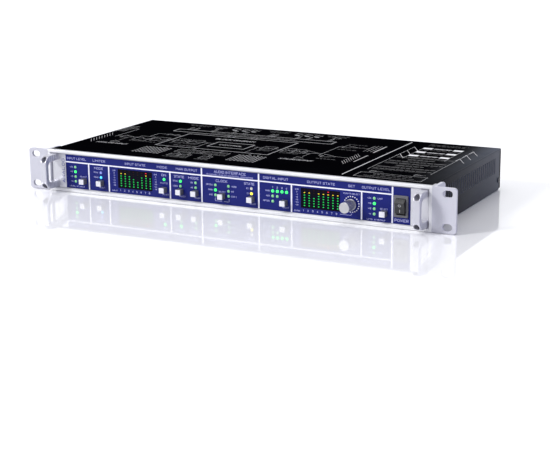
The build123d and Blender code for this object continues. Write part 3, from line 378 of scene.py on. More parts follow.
def block(bm, low, high):
    corners = [bm.verts.new((x, y, z)) for x in (low[0], high[0]) for y in (low[1], high[1]) for z in (low[2], high[2])]
    for face in ((0, 1, 3, 2), (4, 6, 7, 5), (0, 4, 5, 1), (2, 3, 7, 6), (0, 2, 6, 4), (1, 5, 7, 3)):
        bm.faces.new([corners[i] for i in face])


def plate(bm, place, outline, down=INK_DOWN, up=INK_UP):
    """An outline of (u, v) points, as a thin closed plate on a surface."""
    rings = [[bm.verts.new(place(u, v, w)) for u, v in outline] for w in (down, up)]
    for ring in rings:
        bm.faces.new(ring)
    for i in range(len(outline)):
        j = (i + 1) % len(outline)
        bm.faces.new((rings[0][i], rings[0][j], rings[1][j], rings[1][i]))


def bar(bm, place, u0, u1, v0, v1, **reach):
    plate(bm, place, ((u0, v0), (u1, v0), (u1, v1), (u0, v1)), **reach)


def stroke(bm, place, points, width, down=INK_DOWN, up=INK_UP):
    """A line of that width through the points, mitred at its corners; one that ends where it began is closed.

    It rises a little along its way, so that no two faces lie in one plane where it meets itself.
    """
    closed = points[0] == points[-1]
    points = [Vector(p) for p in (points[:-1] if closed else points)]
    count = len(points)
    runs = [(points[(i + 1) % count] - points[i]).normalized() for i in range(count if closed else count - 1)]
    rings = []
    for i, point in enumerate(points):
        first = runs[i - 1] if closed or i > 0 else runs[i]
        second = runs[i] if closed or i < count - 1 else runs[i - 1]
        middle = (first + second).normalized()
        across = Vector((-middle.y, middle.x)) * width / 2 / max(0.45, middle.dot(first))
        if not closed and i in (0, count - 1):
            point = point + middle * width / 2 * (1 if i else -1)
        rings.append([bm.verts.new(place(*(point + across * side), w)) for side, w in
                      ((1, down), (-1, down), (-1, up + RISE * i), (1, up + RISE * i))])
    for i in range(len(runs)):
        near, far = rings[i], rings[(i + 1) % count]
        for j in range(4):
            bm.faces.new((near[j], near[(j + 1) % 4], far[(j + 1) % 4], far[j]))
    if not closed:
        bm.faces.new(rings[0])
        bm.faces.new(rings[-1])


def outline_box(bm, place, u0, u1, v0, v1, width):
    stroke(bm, place, ((u0, v0), (u1, v0), (u1, v1), (u0, v1), (u0, v0)), width)


def disc(bm, place, u, v, radius, steps=16, **reach):
    turns = [2 * math.pi * i / steps for i in range(steps)]
    plate(bm, place, [(u + radius * math.cos(t), v + radius * math.sin(t)) for t in turns], **reach)


# Each sign as lines through points of a grid, 8 across and 12 up, two digits (base 16) a point.
SIGNS = {
    "A": "00 4c 80|14 74", "B": "00 0c 6c 8a 88 66 84 82 60 00|06 66", "C": "8a 6c 2c 0a 02 20 60 82",
    "D": "00 0c 5c 89 83 50 00", "E": "80 00 0c 8c|06 66", "F": "00 0c 8c|06 66", "G": "8a 6c 2c 0a 02 20 60 82 86 56",
    "H": "00 0c|80 8c|06 86", "I": "00 0c", "J": "8c 82 60 20 02", "K": "00 0c|8c 16|26 80", "L": "0c 00 80",
    "M": "00 0c 55 ac a0", "N": "00 0c 80 8c", "O": "20 02 0a 2c 6c 8a 82 60 20", "P": "00 0c 6c 8a 87 65 05",
    "Q": "20 02 0a 2c 6c 8a 82 60 20|54 80", "R": "00 0c 6c 8a 87 65 05|45 80",
    "S": "02 20 60 82 84 66 26 08 0a 2c 6c 8a", "T": "40 4c|0c 8c", "U": "0c 02 20 60 82 8c", "V": "0c 40 8c",
    "W": "0c 30 5a 70 ac", "X": "00 8c|0c 80", "Y": "0c 46 8c|46 40", "Z": "0c 8c 00 80",
    "0": "20 02 0a 2c 6c 8a 82 60 20", "1": "09 3c 30", "2": "0a 2c 6c 8a 88 00 80",
    "3": "0a 2c 6c 8a 88 66 84 82 60 20 02|36 66", "4": "60 6c 03 83",
    "5": "8c 0c 07 67 85 82 60 20 02", "6": "8a 6c 2c 0a 02 20 60 82 85 67 07", "7": "0c 8c 30",
    "8": "26 08 0a 2c 6c 8a 88 66 84 82 60 20 02 04 26|26 66", "9": "02 20 60 82 8a 6c 2c 0a 07 25 85",
    "+": "43 49|16 76", "-": "16 76", "/": "00 8c",
}
SIGN_GAP, SPACE = 3.6, 5.0


def drawn(text):
    """The lines of a text on the grid, and its width."""
    lines, at = [], 0.0
    for sign in text:
        if sign == " ":
            at += SPACE
            continue
        runs = [[(int(p[0], 16), int(p[1], 16)) for p in run.split()] for run in SIGNS[sign].split("|")]
        left = min(u for run in runs for u, _ in run)
        width = max(u for run in runs for u, _ in run) - left
        lines += [[(at + u - left, v) for u, v in run] for run in runs]
        at += width + SIGN_GAP
    return lines, at - SIGN_GAP


def lettering(bm, place, text, u0, u1, v, cap, turn=0.0, weight=0.135):
    """Capitals of that height between u0 and u1, their middle at v; turn is in degrees about (u0, v)."""
    lines, width = drawn(text)
    across, upward, line = (u1 - u0 - weight * cap) / width, cap * (1 - weight) / 12, weight * cap
    c, s = math.cos(math.radians(turn)), math.sin(math.radians(turn))
    for i, points in enumerate(lines):
        placed = []
        for u, w in points:
            along, rise = u * across + line / 2, (w - 6) * upward
            placed.append((u0 + along * c - rise * s, v + along * s + rise * c))
        stroke(bm, place, placed, line, up=INK_UP + LAYER * (i % 3))


def label(bm, place, text, u, v, cap, align=0):
    """Lettering of its own proportions; align -1 ends at u, 0 centres on it, 1 starts at it."""
    width = drawn(text)[1] * cap / 12 * 0.92 + 0.135 * cap
    start = u - width * (0.5 - align / 2)
    lettering(bm, place, text, start, start + width, v, cap)


def lathe(bm, origin, profile, steps=32, axis=(0, 1, 0)):
    """Turn a profile of (along, radius) points about an axis; a radius of 0 closes an end in a point."""
    axis = Vector(axis)
    side = axis.orthogonal().normalized()
    other = axis.cross(side)
    rings = []
    for along, radius in profile:
        centre = Vector(origin) + axis * along
        if radius == 0:
            rings.append([bm.verts.new(centre)])
            continue
        turns = [2 * math.pi * i / steps for i in range(steps)]
        rings.append([bm.verts.new(centre + side * radius * math.cos(t) + other * radius * math.sin(t)) for t in turns])
    for a, b in zip(rings, rings[1:]):
        for i in range(steps):
            j = (i + 1) % steps
            quad = [a[i % len(a)], a[j % len(a)], b[j % len(b)], b[i % len(b)]]
            bm.faces.new(list(dict.fromkeys(quad)))
    for ring in (rings[0], rings[-1]):
        if len(ring) > 1 and rings[0] is not rings[-1]:
            bm.faces.new(ring)


def piece(name, bm, material, body="chassis", replaces=(), weld=0.0, bevel=0.0, sharp=35.0):
    """Turn a mesh drawn in millimetres into a piece that rides on its body."""
    if weld:
        bmesh.ops.remove_doubles(bm, verts=bm.verts, dist=weld)
    bmesh.ops.scale(bm, vec=(MM, MM, MM), verts=bm.verts)
    bmesh.ops.recalc_face_normals(bm, faces=bm.faces)
    mesh = bpy.data.meshes.new(name)
    bm.to_mesh(mesh)
    bm.free()
    mesh.materials.append(material)
    mesh.shade_smooth()
    mesh.set_sharp_from_angle(angle=math.radians(sharp))
    obj = bpy.data.objects.new(name, mesh)
    scene.collection.objects.link(obj)
    if bevel:
        modifier = obj.modifiers.new("bevel", "BEVEL")
        modifier.width = bevel * MM
        modifier.segments = 2
        modifier.limit_method = "ANGLE"
    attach(obj, body)
    if replaces:
        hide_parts(*replaces)
    return obj


# ---- finishes of the CAD nodes ------------------------------------------
knob_low, knob_high = box("encoder_knob")
knob_centre = (knob_low + knob_high) / 2

fascia_finish, cap_finish, knob_finish, inlet_finish, lid_paint, frame_metal = (
    fascia_print(), button_caps(), turned_metal(knob_centre), inlet_plastic(), cover_paint(), frame_paint())
FINISHES = {
    "front_frame": frame_metal, "front_fascia": fascia_finish, "end_blocks": frame_metal,
    "rack_ear_left": ear_metal, "rack_ear_right": ear_metal, "ear_screws": screw_black,
    "handle_left": handle_metal, "handle_right": handle_metal, "handle_screws": screw_steel,
    "chassis_tray": base_paint, "top_cover": lid_paint, "rear_panel": rear_paint, "option_card_plate": rear_paint,
    "panel_screws": screw_black, "button_switches": black_plastic,
    "encoder_knob": knob_finish, "encoder_plunger": nickel, "encoder_body": nickel,
    "power_switch_housing": grey_plastic, "power_rocker": black_plastic,
    "meter_modules": window_black, "mains_inlet": inlet_finish, "mains_pins": nickel,
    "retainer_bracket": black_plastic, "cord_retainer": black_plastic, "din_sockets": socket_plastic,
    "remote_socket": socket_plastic, "optical_housings": optical_plastic,
    "dsub_shells": plated, "dsub_inserts": dsub_plastic, "dsub_jackscrews": nickel,
    "trs_jack_bodies": black_plastic, "trs_jack_nuts": nickel, "option_transceiver": grey_plastic,
    "termination_button": key_blue, "termination_switch": black_plastic,
    "front_board": board_green, "main_board": board_green, "raised_boards": board_green,
    "power_supply_board": board_green, "power_supply_parts": supply_black, "board_posts": nickel,
    "board_screws": screw_steel, "ribbon_cable": ribbon_grey, "mains_wires": wire_brown,
}
for name in nodes:
    if name.startswith("button_") and name not in FINISHES:
        FINISHES[name] = cap_finish
    if name.startswith("optical_shutter"):
        FINISHES[name] = optical_plastic
for name, finish in FINISHES.items():
    for material_slot in nodes[name].material_slots:
        material_slot.material = finish

# ---- front: lines and lettering -----------------------------------------
LINE_Z0, LINE_Z1 = 31.25, 32.55         # the line under the headings
PRINT_Z0, PRINT_Z1 = 4.2, 39.4          # bottom and top of the upright lines
THIN, THICK = 0.75, 0.8                 # half widths of the upright lines
DOT_RING_R, DOT_R = 7.75, 0.6           # dots round the knob

lines = bmesh.new()
bar(lines, front_face, PRINT_X0, 177.8, LINE_Z0, LINE_Z1)
for x in (-166.9, -141.8, -67.2, 71.0, 145.5):
    bar(lines, front_face, x - THIN, x + THIN, PRINT_Z0, LINE_Z0)
for x in (-30.0, 34.9, 177.0):
    bar(lines, front_face, x - THICK, x + THICK, PRINT_Z0, LINE_Z0)
    bar(lines, front_face, x - THICK, x + THICK, LINE_Z1, PRINT_Z1)
for i in range(20):
    turn = math.radians(9 + 18 * i)
    u, v = knob_centre.x + DOT_RING_R * math.cos(turn), knob_centre.z + DOT_RING_R * math.sin(turn)
    disc(lines, front_face, u, v, DOT_R)
piece("front_lines", lines, ink_white)

HEADING_Z, HEADING_CAP, TITLE_CAP, SMALL_CAP = 36.0, 2.3, 2.4, 1.45
HEADINGS = (
    ("INPUT LEVEL", -194.0, -170.0), ("LIMITER", -161.5, -146.0), ("INPUT STATE", -121.5, -96.5),
    ("MODE", -82.5, -70.5), ("MAIN OUTPUT", -60.0, -35.0), ("DIGITAL INPUT", 40.0, 67.5),
    ("OUTPUT STATE", 88.0, 117.5), ("SET", 131.5, 138.5), ("OUTPUT LEVEL", 145.8, 174.5),
)
TITLES = (
    ("MODE", -160.0, -149.0, 28.0), ("ON", -77.4, -72.0, 28.0), ("STATE", -62.3, -50.5, 28.0),
    ("MODE", -45.5, -33.5, 28.0), ("CLOCK", -13.5, -0.5, 28.0), ("STATE", 18.7, 30.0, 28.0),
)
SMALL = (
    ("AUTO", -79.0, -70.5, 19.7), ("SELECT", -178.5, -170.0, 17.3), ("SELECT", -10.5, -2.7, 17.0),
    ("SELECT", 164.5, 172.5, 16.8), ("PUSH TO SELECT", 126.5, 143.5, 28.5), ("LEVEL AT INPUT", -192.0, -173.0, 6.3),
    ("INPUT", -138.0, -131.5, 6.3), ("OUTPUT", 73.8, 80.5, 6.2), ("LEVEL AT OUTPUT", 151.0, 170.0, 5.7),
    ("8 CHANNEL ANALOG AND DIGITAL CONVERTER", -24.0, 28.5, 33.9),
)
lettered = bmesh.new()
for text, u0, u1 in HEADINGS:
    lettering(lettered, front_face, text, u0, u1, HEADING_Z, HEADING_CAP)
lettering(lettered, front_face, "AUDIO INTERFACE", -15.5, 20.5, 37.1, 2.7)
for text, u0, u1, v in TITLES:
    lettering(lettered, front_face, text, u0, u1, v, TITLE_CAP)
lettering(lettered, front_face, "POWER", 179.5, 193.5, 7.5, 2.6)
for text, u0, u1, v in SMALL:
    lettering(lettered, front_face, text, u0, u1, v, SMALL_CAP)
for u in (-150.9, -72.7, -53.0, -35.0, 28.0, 64.5):
    lettering(lettered, front_face, "SELECT", u - 3.6, u + 3.6, 7.9, 1.3)

lamps = [end_disc(points, -1)[0] for points in solids("status_leds") if extent(points)[0].y < FASCIA]
columns = {}
for centre in lamps:
    columns.setdefault(round(centre.x), []).append(centre)
columns = [sorted(columns[x], key=lambda c: -c.z) for x in sorted(columns)]

# What stands beside each lamp of a column, and on which side of it.
BESIDE = (
    (-1, ("+24", "+19", "+13", "+4")), (-1, ("PEAK", "HOLD")), (0, ("",)), (-1, ("SYNC", "LOCK")), (-1, ("96", "48")),
    (-1, ("OPTION", "MAIN", "AUX")), (1, ("WORD", "INT", "EXT 1")), (-1, ("X2", "X1")), (-1, ("MAIN", "AUX", "OPTION")),
    (0, ("", "")), (0, ("",)), (0, ("",)), (-1, ("+24", "+19", "+13", "+4")),
)
for (side, words), column in zip(BESIDE, columns):
    for word, centre in zip(words, column):
        if word:
            label(lettered, front_face, word, centre.x + side * 3.3, centre.z, 1.6, side)
label(lettered, front_face, "LIMIT", 161.9, 26.4, 1.6, 1)
for i, column in enumerate(columns[8:12]):
    label(lettered, front_face, str(i + 1), column[0].x - 0.1, 27.0, 1.9)

windows = [extent(points) for points in solids("meter_modules")]
COLUMN_STEP, ROW_STEP, FIRST_COLUMN, FIRST_ROW = 5.07, 2.58, 4.0, 1.75
SCALE = ("OVR", "0", "-3", "-6", "-12", "-24", "-48")
for low, high in windows:
    for i in range(8):
        label(lettered, front_face, str(i + 1), low.x + 2.7 + COLUMN_STEP * i, 7.2, 1.9)
for i, text in enumerate(SCALE):
    z = windows[0][1].z - FIRST_ROW - ROW_STEP * i
    for u in (-135.2, -84.6, 76.8):
        label(lettered, front_face, text, u, z, 1.35)
for points in (((-14.5, 10.5), (-14.5, 7.6), (-13.9, 7.2), (-7.0, 7.2)),
               ((-4.5, 7.2), (0.7, 7.2), (1.3, 7.6), (1.3, 10.4)),
               ((123.0, 7.3), (134.2, 7.3), (135.4, 9.0))):
    stroke(lettered, front_face, points, 0.32)
piece("front_lettering", lettered, ink_lilac, weld=1e-4)

ends = bmesh.new()
lettering(ends, front_face, "ANALOG", -199.4, -173.4, 9.0, 3.4, 90)
lettering(ends, front_face, "DIGITAL", 199.3, 225.3, 9.0, 3.0, 90)
piece("end_lettering", ends, ink_blue, weld=1e-4)

# ---- front: lamps, meters, rocker marks ---------------------------------
LAMP_STATES = ("dldd", "ic", "l", "ld", "dd", "dld", "ddd", "wy", "ldd", "ld", "l", "l", "dldd")
LAMP_KEYS = {"d": "green_off", "l": "green_on", "i": "lilac_off", "c": "cyan_on", "w": "white_off", "y": "yellow_on"}
LAMP_R, LAMP_DOME, LAMP_LENGTH = 1.45, 0.9, 7.5


def lamp(bm, centre, sign):
    """Domed light; the dome ends at centre and looks along sign * y."""
    turns = [math.radians(a) for a in range(0, 91, 15)]
    dome = [(-LAMP_DOME * (1 - math.cos(t)), LAMP_R * math.sin(t)) for t in turns]
    lathe(bm, centre, [*dome, (-LAMP_LENGTH, LAMP_R), (-LAMP_LENGTH, 0)], 24, (0, sign, 0))


lamp_meshes = {}
for states, column in zip(LAMP_STATES, columns):
    for state, centre in zip(states, column):
        lamp(lamp_meshes.setdefault(LAMP_KEYS[state], bmesh.new()), centre, -1)
rear_lamp = [end_disc(points, 1)[0] for points in solids("status_leds") if extent(points)[1].y > REAR][0]
lamp(lamp_meshes.setdefault("pale_off", bmesh.new()), rear_lamp, 1)
for key, bm in lamp_meshes.items():
    piece(f"lamps_{key}", bm, LAMPS[key], replaces=("status_leds",) if key == "green_on" else ())

# first row that is lit in each column of each meter, counted from the top
LEVELS = ((1, 1, 2, 3, 4, 2, 0, 2), (1, 1, 3, 1, 1, 0, 1, 1))
ROW_KEYS = ("red", "yellow", "green", "green", "green", "green", "green")
SEGMENT_U, SEGMENT_V = 0.7, 0.40        # half width and half height of a segment
bars = {}
for (low, high), levels in zip(windows, LEVELS):
    for i, first in enumerate(levels):
        x = low.x + FIRST_COLUMN + COLUMN_STEP * i
        for row, colour in enumerate(ROW_KEYS):
            z = high.z - FIRST_ROW - ROW_STEP * row
            key = f"{colour}_{'on' if row >= first else 'off'}"
            bar(bars.setdefault(key, bmesh.new()), front_face, x - SEGMENT_U, x + SEGMENT_U,
                z - SEGMENT_V, z + SEGMENT_V, down=-0.1, up=0.06)
for key, bm in bars.items():
    piece(f"bars_{key}", bm, SEGMENTS[key], bevel=0.15)

rocker_low, rocker_high = box("power_rocker")
rocker_x = (rocker_low.x + rocker_high.x) / 2
ROCKER_PIVOT = Vector((rocker_x, -1.0, 21.2))
ROCKER_TILT = math.radians(10.0)
DISH_DEPTH, CORNER_DEPTH, CORNER_Z = 3.9, 5.14, 5.32


def rocker_face(sign):
    """Where (u, v, w) lies on the upper (1) or lower (-1) half of the rocker's dished front."""
    slope = (CORNER_DEPTH - DISH_DEPTH) / CORNER_Z
    tilt = Matrix.Rotation(ROCKER_TILT, 3, "X")

    def place(u, v, w):
        y = -DISH_DEPTH - slope * abs(v) - w
        return ROCKER_PIVOT + tilt @ Vector((u, y, v))

    return place


marks = bmesh.new()
ring = [(1.2 * math.cos(math.radians(a)), 2.4 + 1.2 * math.sin(math.radians(a))) for a in range(0, 360, 20)]
stroke(marks, rocker_face(1), [*ring, ring[0]], 0.34)
bar(marks, rocker_face(-1), -0.18, 0.18, -4.3, -1.5)
piece("rocker_marks", marks, symbol_grey, body="power_rocker")

# ---- front edge of the lid, lapped over the frame -----------------------
BAND_DEPTH = 4.6                        # bare metal left in front of it on the top of the frame
cover_low, cover_high = box("top_cover")
frame_low, frame_high = box("front_frame")
lip = bmesh.new()
block(lip, (cover_low.x, frame_low.y + BAND_DEPTH, frame_high.z - 0.35),
      (cover_high.x, cover_low.y + 0.2, frame_high.z + 0.04))
piece("lid_front_edge", lip, lid_paint, bevel=0.08)

# ---- lid: printed block drawing -----------------------------------------
rng = random.Random(11)
LID_LINE = 0.38
lid, small_print = bmesh.new(), bmesh.new()


def words(u0, u1, v, height, longest=6.5):
    """A row of short bars in place of a line of small print."""
    u = u0
    while u < u1 - 1.5:
        length = min(rng.uniform(0.3, 1.0) * longest, u1 - u)
        bar(small_print, lid_face, u, u + length, v - height * 0.2, v + height * 0.2)
        u += length + 1.1


def amplifier(u, v, size):
    low, high = v - size / 2, v + size / 2
    run((u, low), (u, high), (u + size, v), (u, low))


def run(*points):
    stroke(lid, lid_face, points, LID_LINE)


def ticks(u, v0, v1, count, across, along):
    """A column of short slanting lines, one for each channel."""
    for i in range(count):
        v = v0 + (v1 - v0) * i / (count - 1)
        run((u, v), (u + across, v + along))


def cell(u0, u1, v0, v1):
    """A small stage of the drawing: a frame with a wave in it."""
    outline_box(lid, lid_face, u0, u1, v0, v1, LID_LINE)
    w, mid = u1 - u0, (v0 + v1) / 2
    run((u0 + 0.2 * w, mid - 2), (u0 + 0.4 * w, mid + 2.5), (u0 + 0.6 * w, mid - 2), (u0 + 0.8 * w, mid + 2.5))


for u0, u1 in ((-155, -127), (-124, -102), (-52, -24), (20, 47)):
    words(u0, u1, 192, 2.2)
    words(u0 + 3, u1 - 2, 187, 2.2)
for u0 in (-96, -17):
    for i in range(3):
        u = u0 + 12 * i
        amplifier(u + 1, 186, 9)
        bar(lid, lid_face, u + 3, u + 8, 178.5, 181)
    words(u0, u0 + 34, 193, 1.8)
for u in (-112, 36):
    amplifier(u - 3, 182, 8)
for u in (-142, -135, -111, -85, -71, -39, -34, -5, 8, 34):
    outline_box(lid, lid_face, u - 1.3, u + 1.3, 163, 176, LID_LINE)
outline_box(lid, lid_face, -153, 44, 148.5, 162.5, 0.9)
words(-107, -2, 155.5, 4.2)
for u in (-78, -72, -49, -44):
    run((u, 148), (u, 141))
    run((u - 1.5, 143.5), (u, 141), (u + 1.5, 143.5))
outline_box(lid, lid_face, -127, 9, 68, 140, 0.9)
lettering(lid, lid_face, "BLOCK DIAGRAM", -84, -36, 125.5, 5.5)
outline_box(lid, lid_face, -72, -28, 84, 110, 0.9)
lettering(lid, lid_face, "CONTROL", -64, -36, 97, 4.5)
for u0 in (-120, -102, -13):
    cell(u0, u0 + 14, 91, 109)
    words(u0 - 1, u0 + 15, 86, 1.8)
run((-127, 100), (-120, 100))
run((-106, 100), (-102, 100))
run((-88, 100), (-72, 100))
run((-28, 100), (-13, 100))
run((1, 100), (9, 100))
run((-80, 100), (-80, 70))
run((-19, 100), (-19, 70))
words(-109, -80, 76, 3.6)
for u0, stems in ((-131, (-109,)), (-18, (-8, 2))):
    for column in range(8):
        for row in range(7):
            u, v = u0 + 4.3 * column, 27 + 4.6 * row
            bar(lid, lid_face, u, u + 2.4, v, v + 1.5)
    for u in stems:
        run((u, 58.5), (u, 68))
for u0, u1, stem in ((-89, -60, -75), (-57, -29, -42)):
    outline_box(lid, lid_face, u0, u1, 44, 58, LID_LINE)
    words(u0 + 2, u1 - 2, 53.5, 2.4)
    words(u0 + 2, u1 - 2, 48.5, 2.4)
    run((stem, 58), (stem, 68))
for u in (-84, -71, -46):
    run((u + 3, 44), (u + 3, 36))
    outline_box(lid, lid_face, u - 2, u + 9, 23, 35, LID_LINE)
    words(u - 1, u + 9, 29, 2.0)
    words(u - 4, u + 12, 18.5, 2.2)

# the input side at the left, then the output side at the right
ticks(-213, 124, 156, 8, 10, 0)
run((-213, 122), (-213, 158))
ticks(-202, 56, 98, 9, -8, 12)
run((-195, 92), (-195, 142), (-203, 142))
run((-195, 97), (-187, 97))
amplifier(-187, 97, 14)
run((-173, 97), (-168, 97))
cell(-168, -151, 84, 107)
run((-151, 97), (-148, 97))
cell(-148, -131, 88, 108)
run((-131, 97), (-127, 97))
run((-159, 107), (-159, 128), (-147, 128))
amplifier(-146, 127, 7)
amplifier(-137, 127, 7)
run((-178, 92), (-178, 75))
amplifier(-182, 68, 9)
lettering(lid, lid_face, "ANALOG INPUT", -195, -156, 57.5, 4.6)
words(-168, -134, 79, 2.0)

cell(13, 24, 89, 108)
cell(26, 36, 89, 108)
run((9, 97), (13, 97))
run((24, 97), (26, 97))
run((36, 97), (39, 97))
amplifier(39, 97, 15)
run((54, 97), (58, 97))
run((63, 142), (58, 142), (58, 88), (63, 88))
for v in (142, 88):
    amplifier(63, v, 15)
    run((78, v), (91, v))
words(62, 84, 126, 2.2)
words(62, 84, 155, 2.2)
words(62, 84, 73, 2.2)
run((46, 92), (46, 75))
amplifier(41, 68, 9)
lettering(lid, lid_face, "ANALOG OUTPUT", 28, 66, 57.5, 4.6)
for u in (91.5, 95.5, 99.5):
    run((u, 126), (u, 159))
bar(lid, lid_face, 103, 104.6, 124, 160)
ticks(100, 58, 98, 9, -8, 13)
bar(lid, lid_face, 104, 105.2, 72, 108)
words(14, 36, 84, 1.8)

# the column of notes on the right
words(142, 185, 190, 2.2)
words(142, 185, 184.5, 2.2)
NOTE_BARS = (168.5, 147.5, 127.5)
notes = bmesh.new()
bar(notes, lid_face, 118.6, 119.5, 12, 195)
for v in NOTE_BARS:
    for u0, u1 in ((142, 152.5), (175.5, 186)):
        bar(notes, lid_face, u0, u1, v - 3.4, v + 3.4)
    lettering(notes, lid_face, "CONNECTION", 154.5, 173.5, v, 3.6)
    words(146, 183, v - 8.5, 1.8)
    for u in (131, 196):
        stroke(notes, lid_face, ((u, v + 3), (u + 11.5, v - 17)), LID_LINE)
        stroke(notes, lid_face, ((u, v + 2.5), (u, v - 9)), LID_LINE)
for u in (131, 142, 186, 197):
    run((u, 112), (u, 172))
for u in (131, 197):
    run((u, 46), (u, 112))
for row in range(7):
    v = 116 - 10.4 * row
    inset = 16 if row in (1, 4) else 0
    words(134 + inset, 195 - inset, v, 3.4, 14)
    words(134 + inset, 189 - inset, v - 4.2, 1.2, 9)
amplifier(138, 38, 7)
amplifier(184, 38, 7)
run((145, 38), (151, 38))
run((191, 38), (195, 38))
outline_box(lid, lid_face, 131, 200, 12, 31, LID_LINE)
words(146, 186, 25.5, 3.0)
words(139, 193, 18, 2.2)
piece("lid_print", lid, ink_lid, weld=1e-4)
piece("lid_small_print", small_print, ink_small)
piece("lid_note_bars", notes, ink_note)

# ---- rear: lettering ----------------------------------------------------
jacks = sorted((end_disc(points, 1) for points in solids("trs_jack_nuts")), key=lambda found: -found[0].x)
rear = bmesh.new()
bar(rear, rear_face, 24.6, 26.0, 2.8, 18.5)
bar(rear, rear_face, 56.5, 68.5, 31.4, 32.2)
for i, (centre, _) in enumerate(jacks):
    u = -centre.x
    label(rear, rear_face, str(8 - i % 8), u, 4.6, 2.1)
    if i % 8 < 7:
        bar(rear, rear_face, u + 6.0, u + 9.6, centre.z + 0.1, centre.z + 1.2)
REAR_LABELS = (
    ("OUT", -161.0, -153.5, 21.5), ("IN", -116.8, -113.2, 21.5), ("REMOTE", -104.0, -90.0, 21.5),
    ("CLOCK OUT", -80.0, -63.5, 21.0), ("OPTICAL OUT", -58.0, -38.0, 36.5), ("AUX", -59.4, -51.8, 21.3),
    ("MAIN", -45.2, -36.6, 21.3), ("DIGITAL IN AND OUT", -16.0, 10.5, 22.3), ("ANALOG OUTPUTS", -20.0, 15.0, 4.6),
    ("ANALOG INPUTS", 40.0, 71.0, 4.6), ("OPTICAL IN", 30.0, 47.0, 36.2), ("AUX", 26.8, 34.0, 21.2),
    ("MAIN", 41.0, 51.0, 21.2), ("TERM", 54.0, 62.6, 21.3), ("CLOCK IN", 69.5, 86.0, 21.3), ("75", 61.2, 65.2, 35.0),
    ("CONTROL", -144.0, -124.0, 37.8),
)
for text, u0, u1, v in REAR_LABELS:
    lettering(rear, rear_face, text, u0, u1, v, 2.2)
for text, u0, u1, v in (("MAINS INPUT", -198.5, -176.0, 37.0), ("LINE VOLTAGE", -198.5, -178.5, 34.0),
                        ("AC LINE  50 60 HZ", -201.5, -176.5, 4.8)):
    lettering(rear, rear_face, text, u0, u1, v, 1.7)
lettering(rear, rear_face, "POWER", -210.6, -188.6, 9.0, 4.4, 90)
piece("rear_lettering", rear, ink_rear, weld=1e-4)

# ---- rear: coaxial sockets ----------------------------------------------
BNC_R, BNC_REACH = 4.85, 18.5
# Whether the base and the nut are dark, radius and thickness of the base, from the lowest x to the highest.
STYLES = ((True, True, 7.2, 5.0), (False, False, 7.2, 3.0), (False, True, 8.0, 1.2), (False, False, 8.0, 1.8))
shells, darks, cores, pins = bmesh.new(), bmesh.new(), bmesh.new(), bmesh.new()
for i, points in enumerate(solids("bnc_sockets")):
    centre, _ = end_disc(points, 1)
    origin = Vector((centre.x, REAR, centre.z))
    dark_base, dark_nut, base_r, base_t = STYLES[i]
    thread = [(5.9, BNC_R)]
    for step in range(6):
        thread += [(6.2 + 0.7 * step, BNC_R), (6.5 + 0.7 * step, BNC_R - 0.3)]
    lathe(shells, origin, [
        (-1.5, 4.2), (-1.5, BNC_R), *thread, (10.6, BNC_R), (16.6, BNC_R), (17.4, BNC_R), (18.1, BNC_R - 0.15),
        (BNC_REACH, BNC_R - 0.45), (18.3, 4.1), (9.0, 4.05), (9.0, 0)], 48)
    for side in (-1, 1):
        lathe(shells, origin + Vector((side * 4.3, 13.5, 0)), [(0, 0), (0, 0.95), (1.45, 0.95), (1.6, 0.8), (1.6, 0)],
              16, (side, 0, 0))
    lathe(darks if dark_base else shells, origin, [
        (0, 0), (0, base_r - 0.1), (base_t - 0.4, base_r), (base_t, base_r - 0.4), (base_t, 0)], 48)
    nut = darks if dark_nut else shells
    hexagon = [(6.2 * math.cos(math.radians(60 * k)), 6.2 * math.sin(math.radians(60 * k))) for k in range(6)]
    plate(nut, lambda p, q, w, o=origin: o + Vector((p, w, q)), hexagon, down=base_t - 0.2, up=6.0)
    lathe(cores, origin, [(8.5, 0), (8.5, 2.9), (17.2, 2.9), (17.5, 2.6), (17.5, 1.15), (12.0, 1.15), (12.0, 0)], 32)
    lathe(pins, origin, [(11.5, 0), (11.5, 1.1), (17.4, 1.1), (17.7, 0.9), (17.7, 0.4), (13.0, 0.4), (13.0, 0)], 20)
piece("bnc_shells", shells, nickel, replaces=("bnc_sockets",))
piece("bnc_bases", darks, dark_metal, bevel=0.2)
piece("bnc_insulators", cores, insulator)
piece("bnc_contacts", pins, gold)

# ---- rear: contacts and small parts -------------------------------------
contacts = bmesh.new()
CONTACT_PITCH, CONTACT_ROW = 2.77, 1.42
for points in solids("dsub_inserts"):
    low, high = extent(points)
    middle = (low + high) / 2
    for count, dz in ((13, CONTACT_ROW), (12, -CONTACT_ROW)):
        for i in range(count):
            x = middle.x + CONTACT_PITCH * (i - (count - 1) / 2)
            lathe(contacts, (x, high.y, middle.z + dz), [
                (-4.0, 0), (-4.0, 0.53), (0.02, 0.53), (0.02, 0.76), (0.10, 0.70), (0.06, 0.27), (-2.5, 0.27),
                (-2.5, 0)], 16)
piece("dsub_contacts", contacts, gold)

bushings = bmesh.new()
for centre, _ in jacks:
    lathe(bushings, (centre.x, REAR, centre.z), [
        (-1.6, 3.28), (-1.5, 2.95), (-1.9, 2.88), (-6.0, 2.88), (-6.1, 3.28), (-1.6, 3.28)], 32)
piece("jack_bushings", bushings, black_plastic, weld=1e-4)

remote_end = box("remote_socket")[1].y - 0.05
remote_face = [v.co / MM for v in nodes["remote_socket"].data.vertices if v.co.y / MM > remote_end]
ring_low, ring_high = extent(remote_face)
ring_centre, ring_r = (ring_low + ring_high) / 2, (ring_high.x - ring_low.x) / 2
collar = bmesh.new()
lathe(collar, (ring_centre.x, REAR, ring_centre.z), [
    (0.1, ring_r + 0.05), (1.3, ring_r + 0.05), (1.55, ring_r - 0.2), (1.55, ring_r - 0.6), (1.2, ring_r - 0.85),
    (0.3, ring_r - 0.85), (0.1, ring_r + 0.05)], 48)
piece("remote_ring", collar, nickel, weld=1e-4)

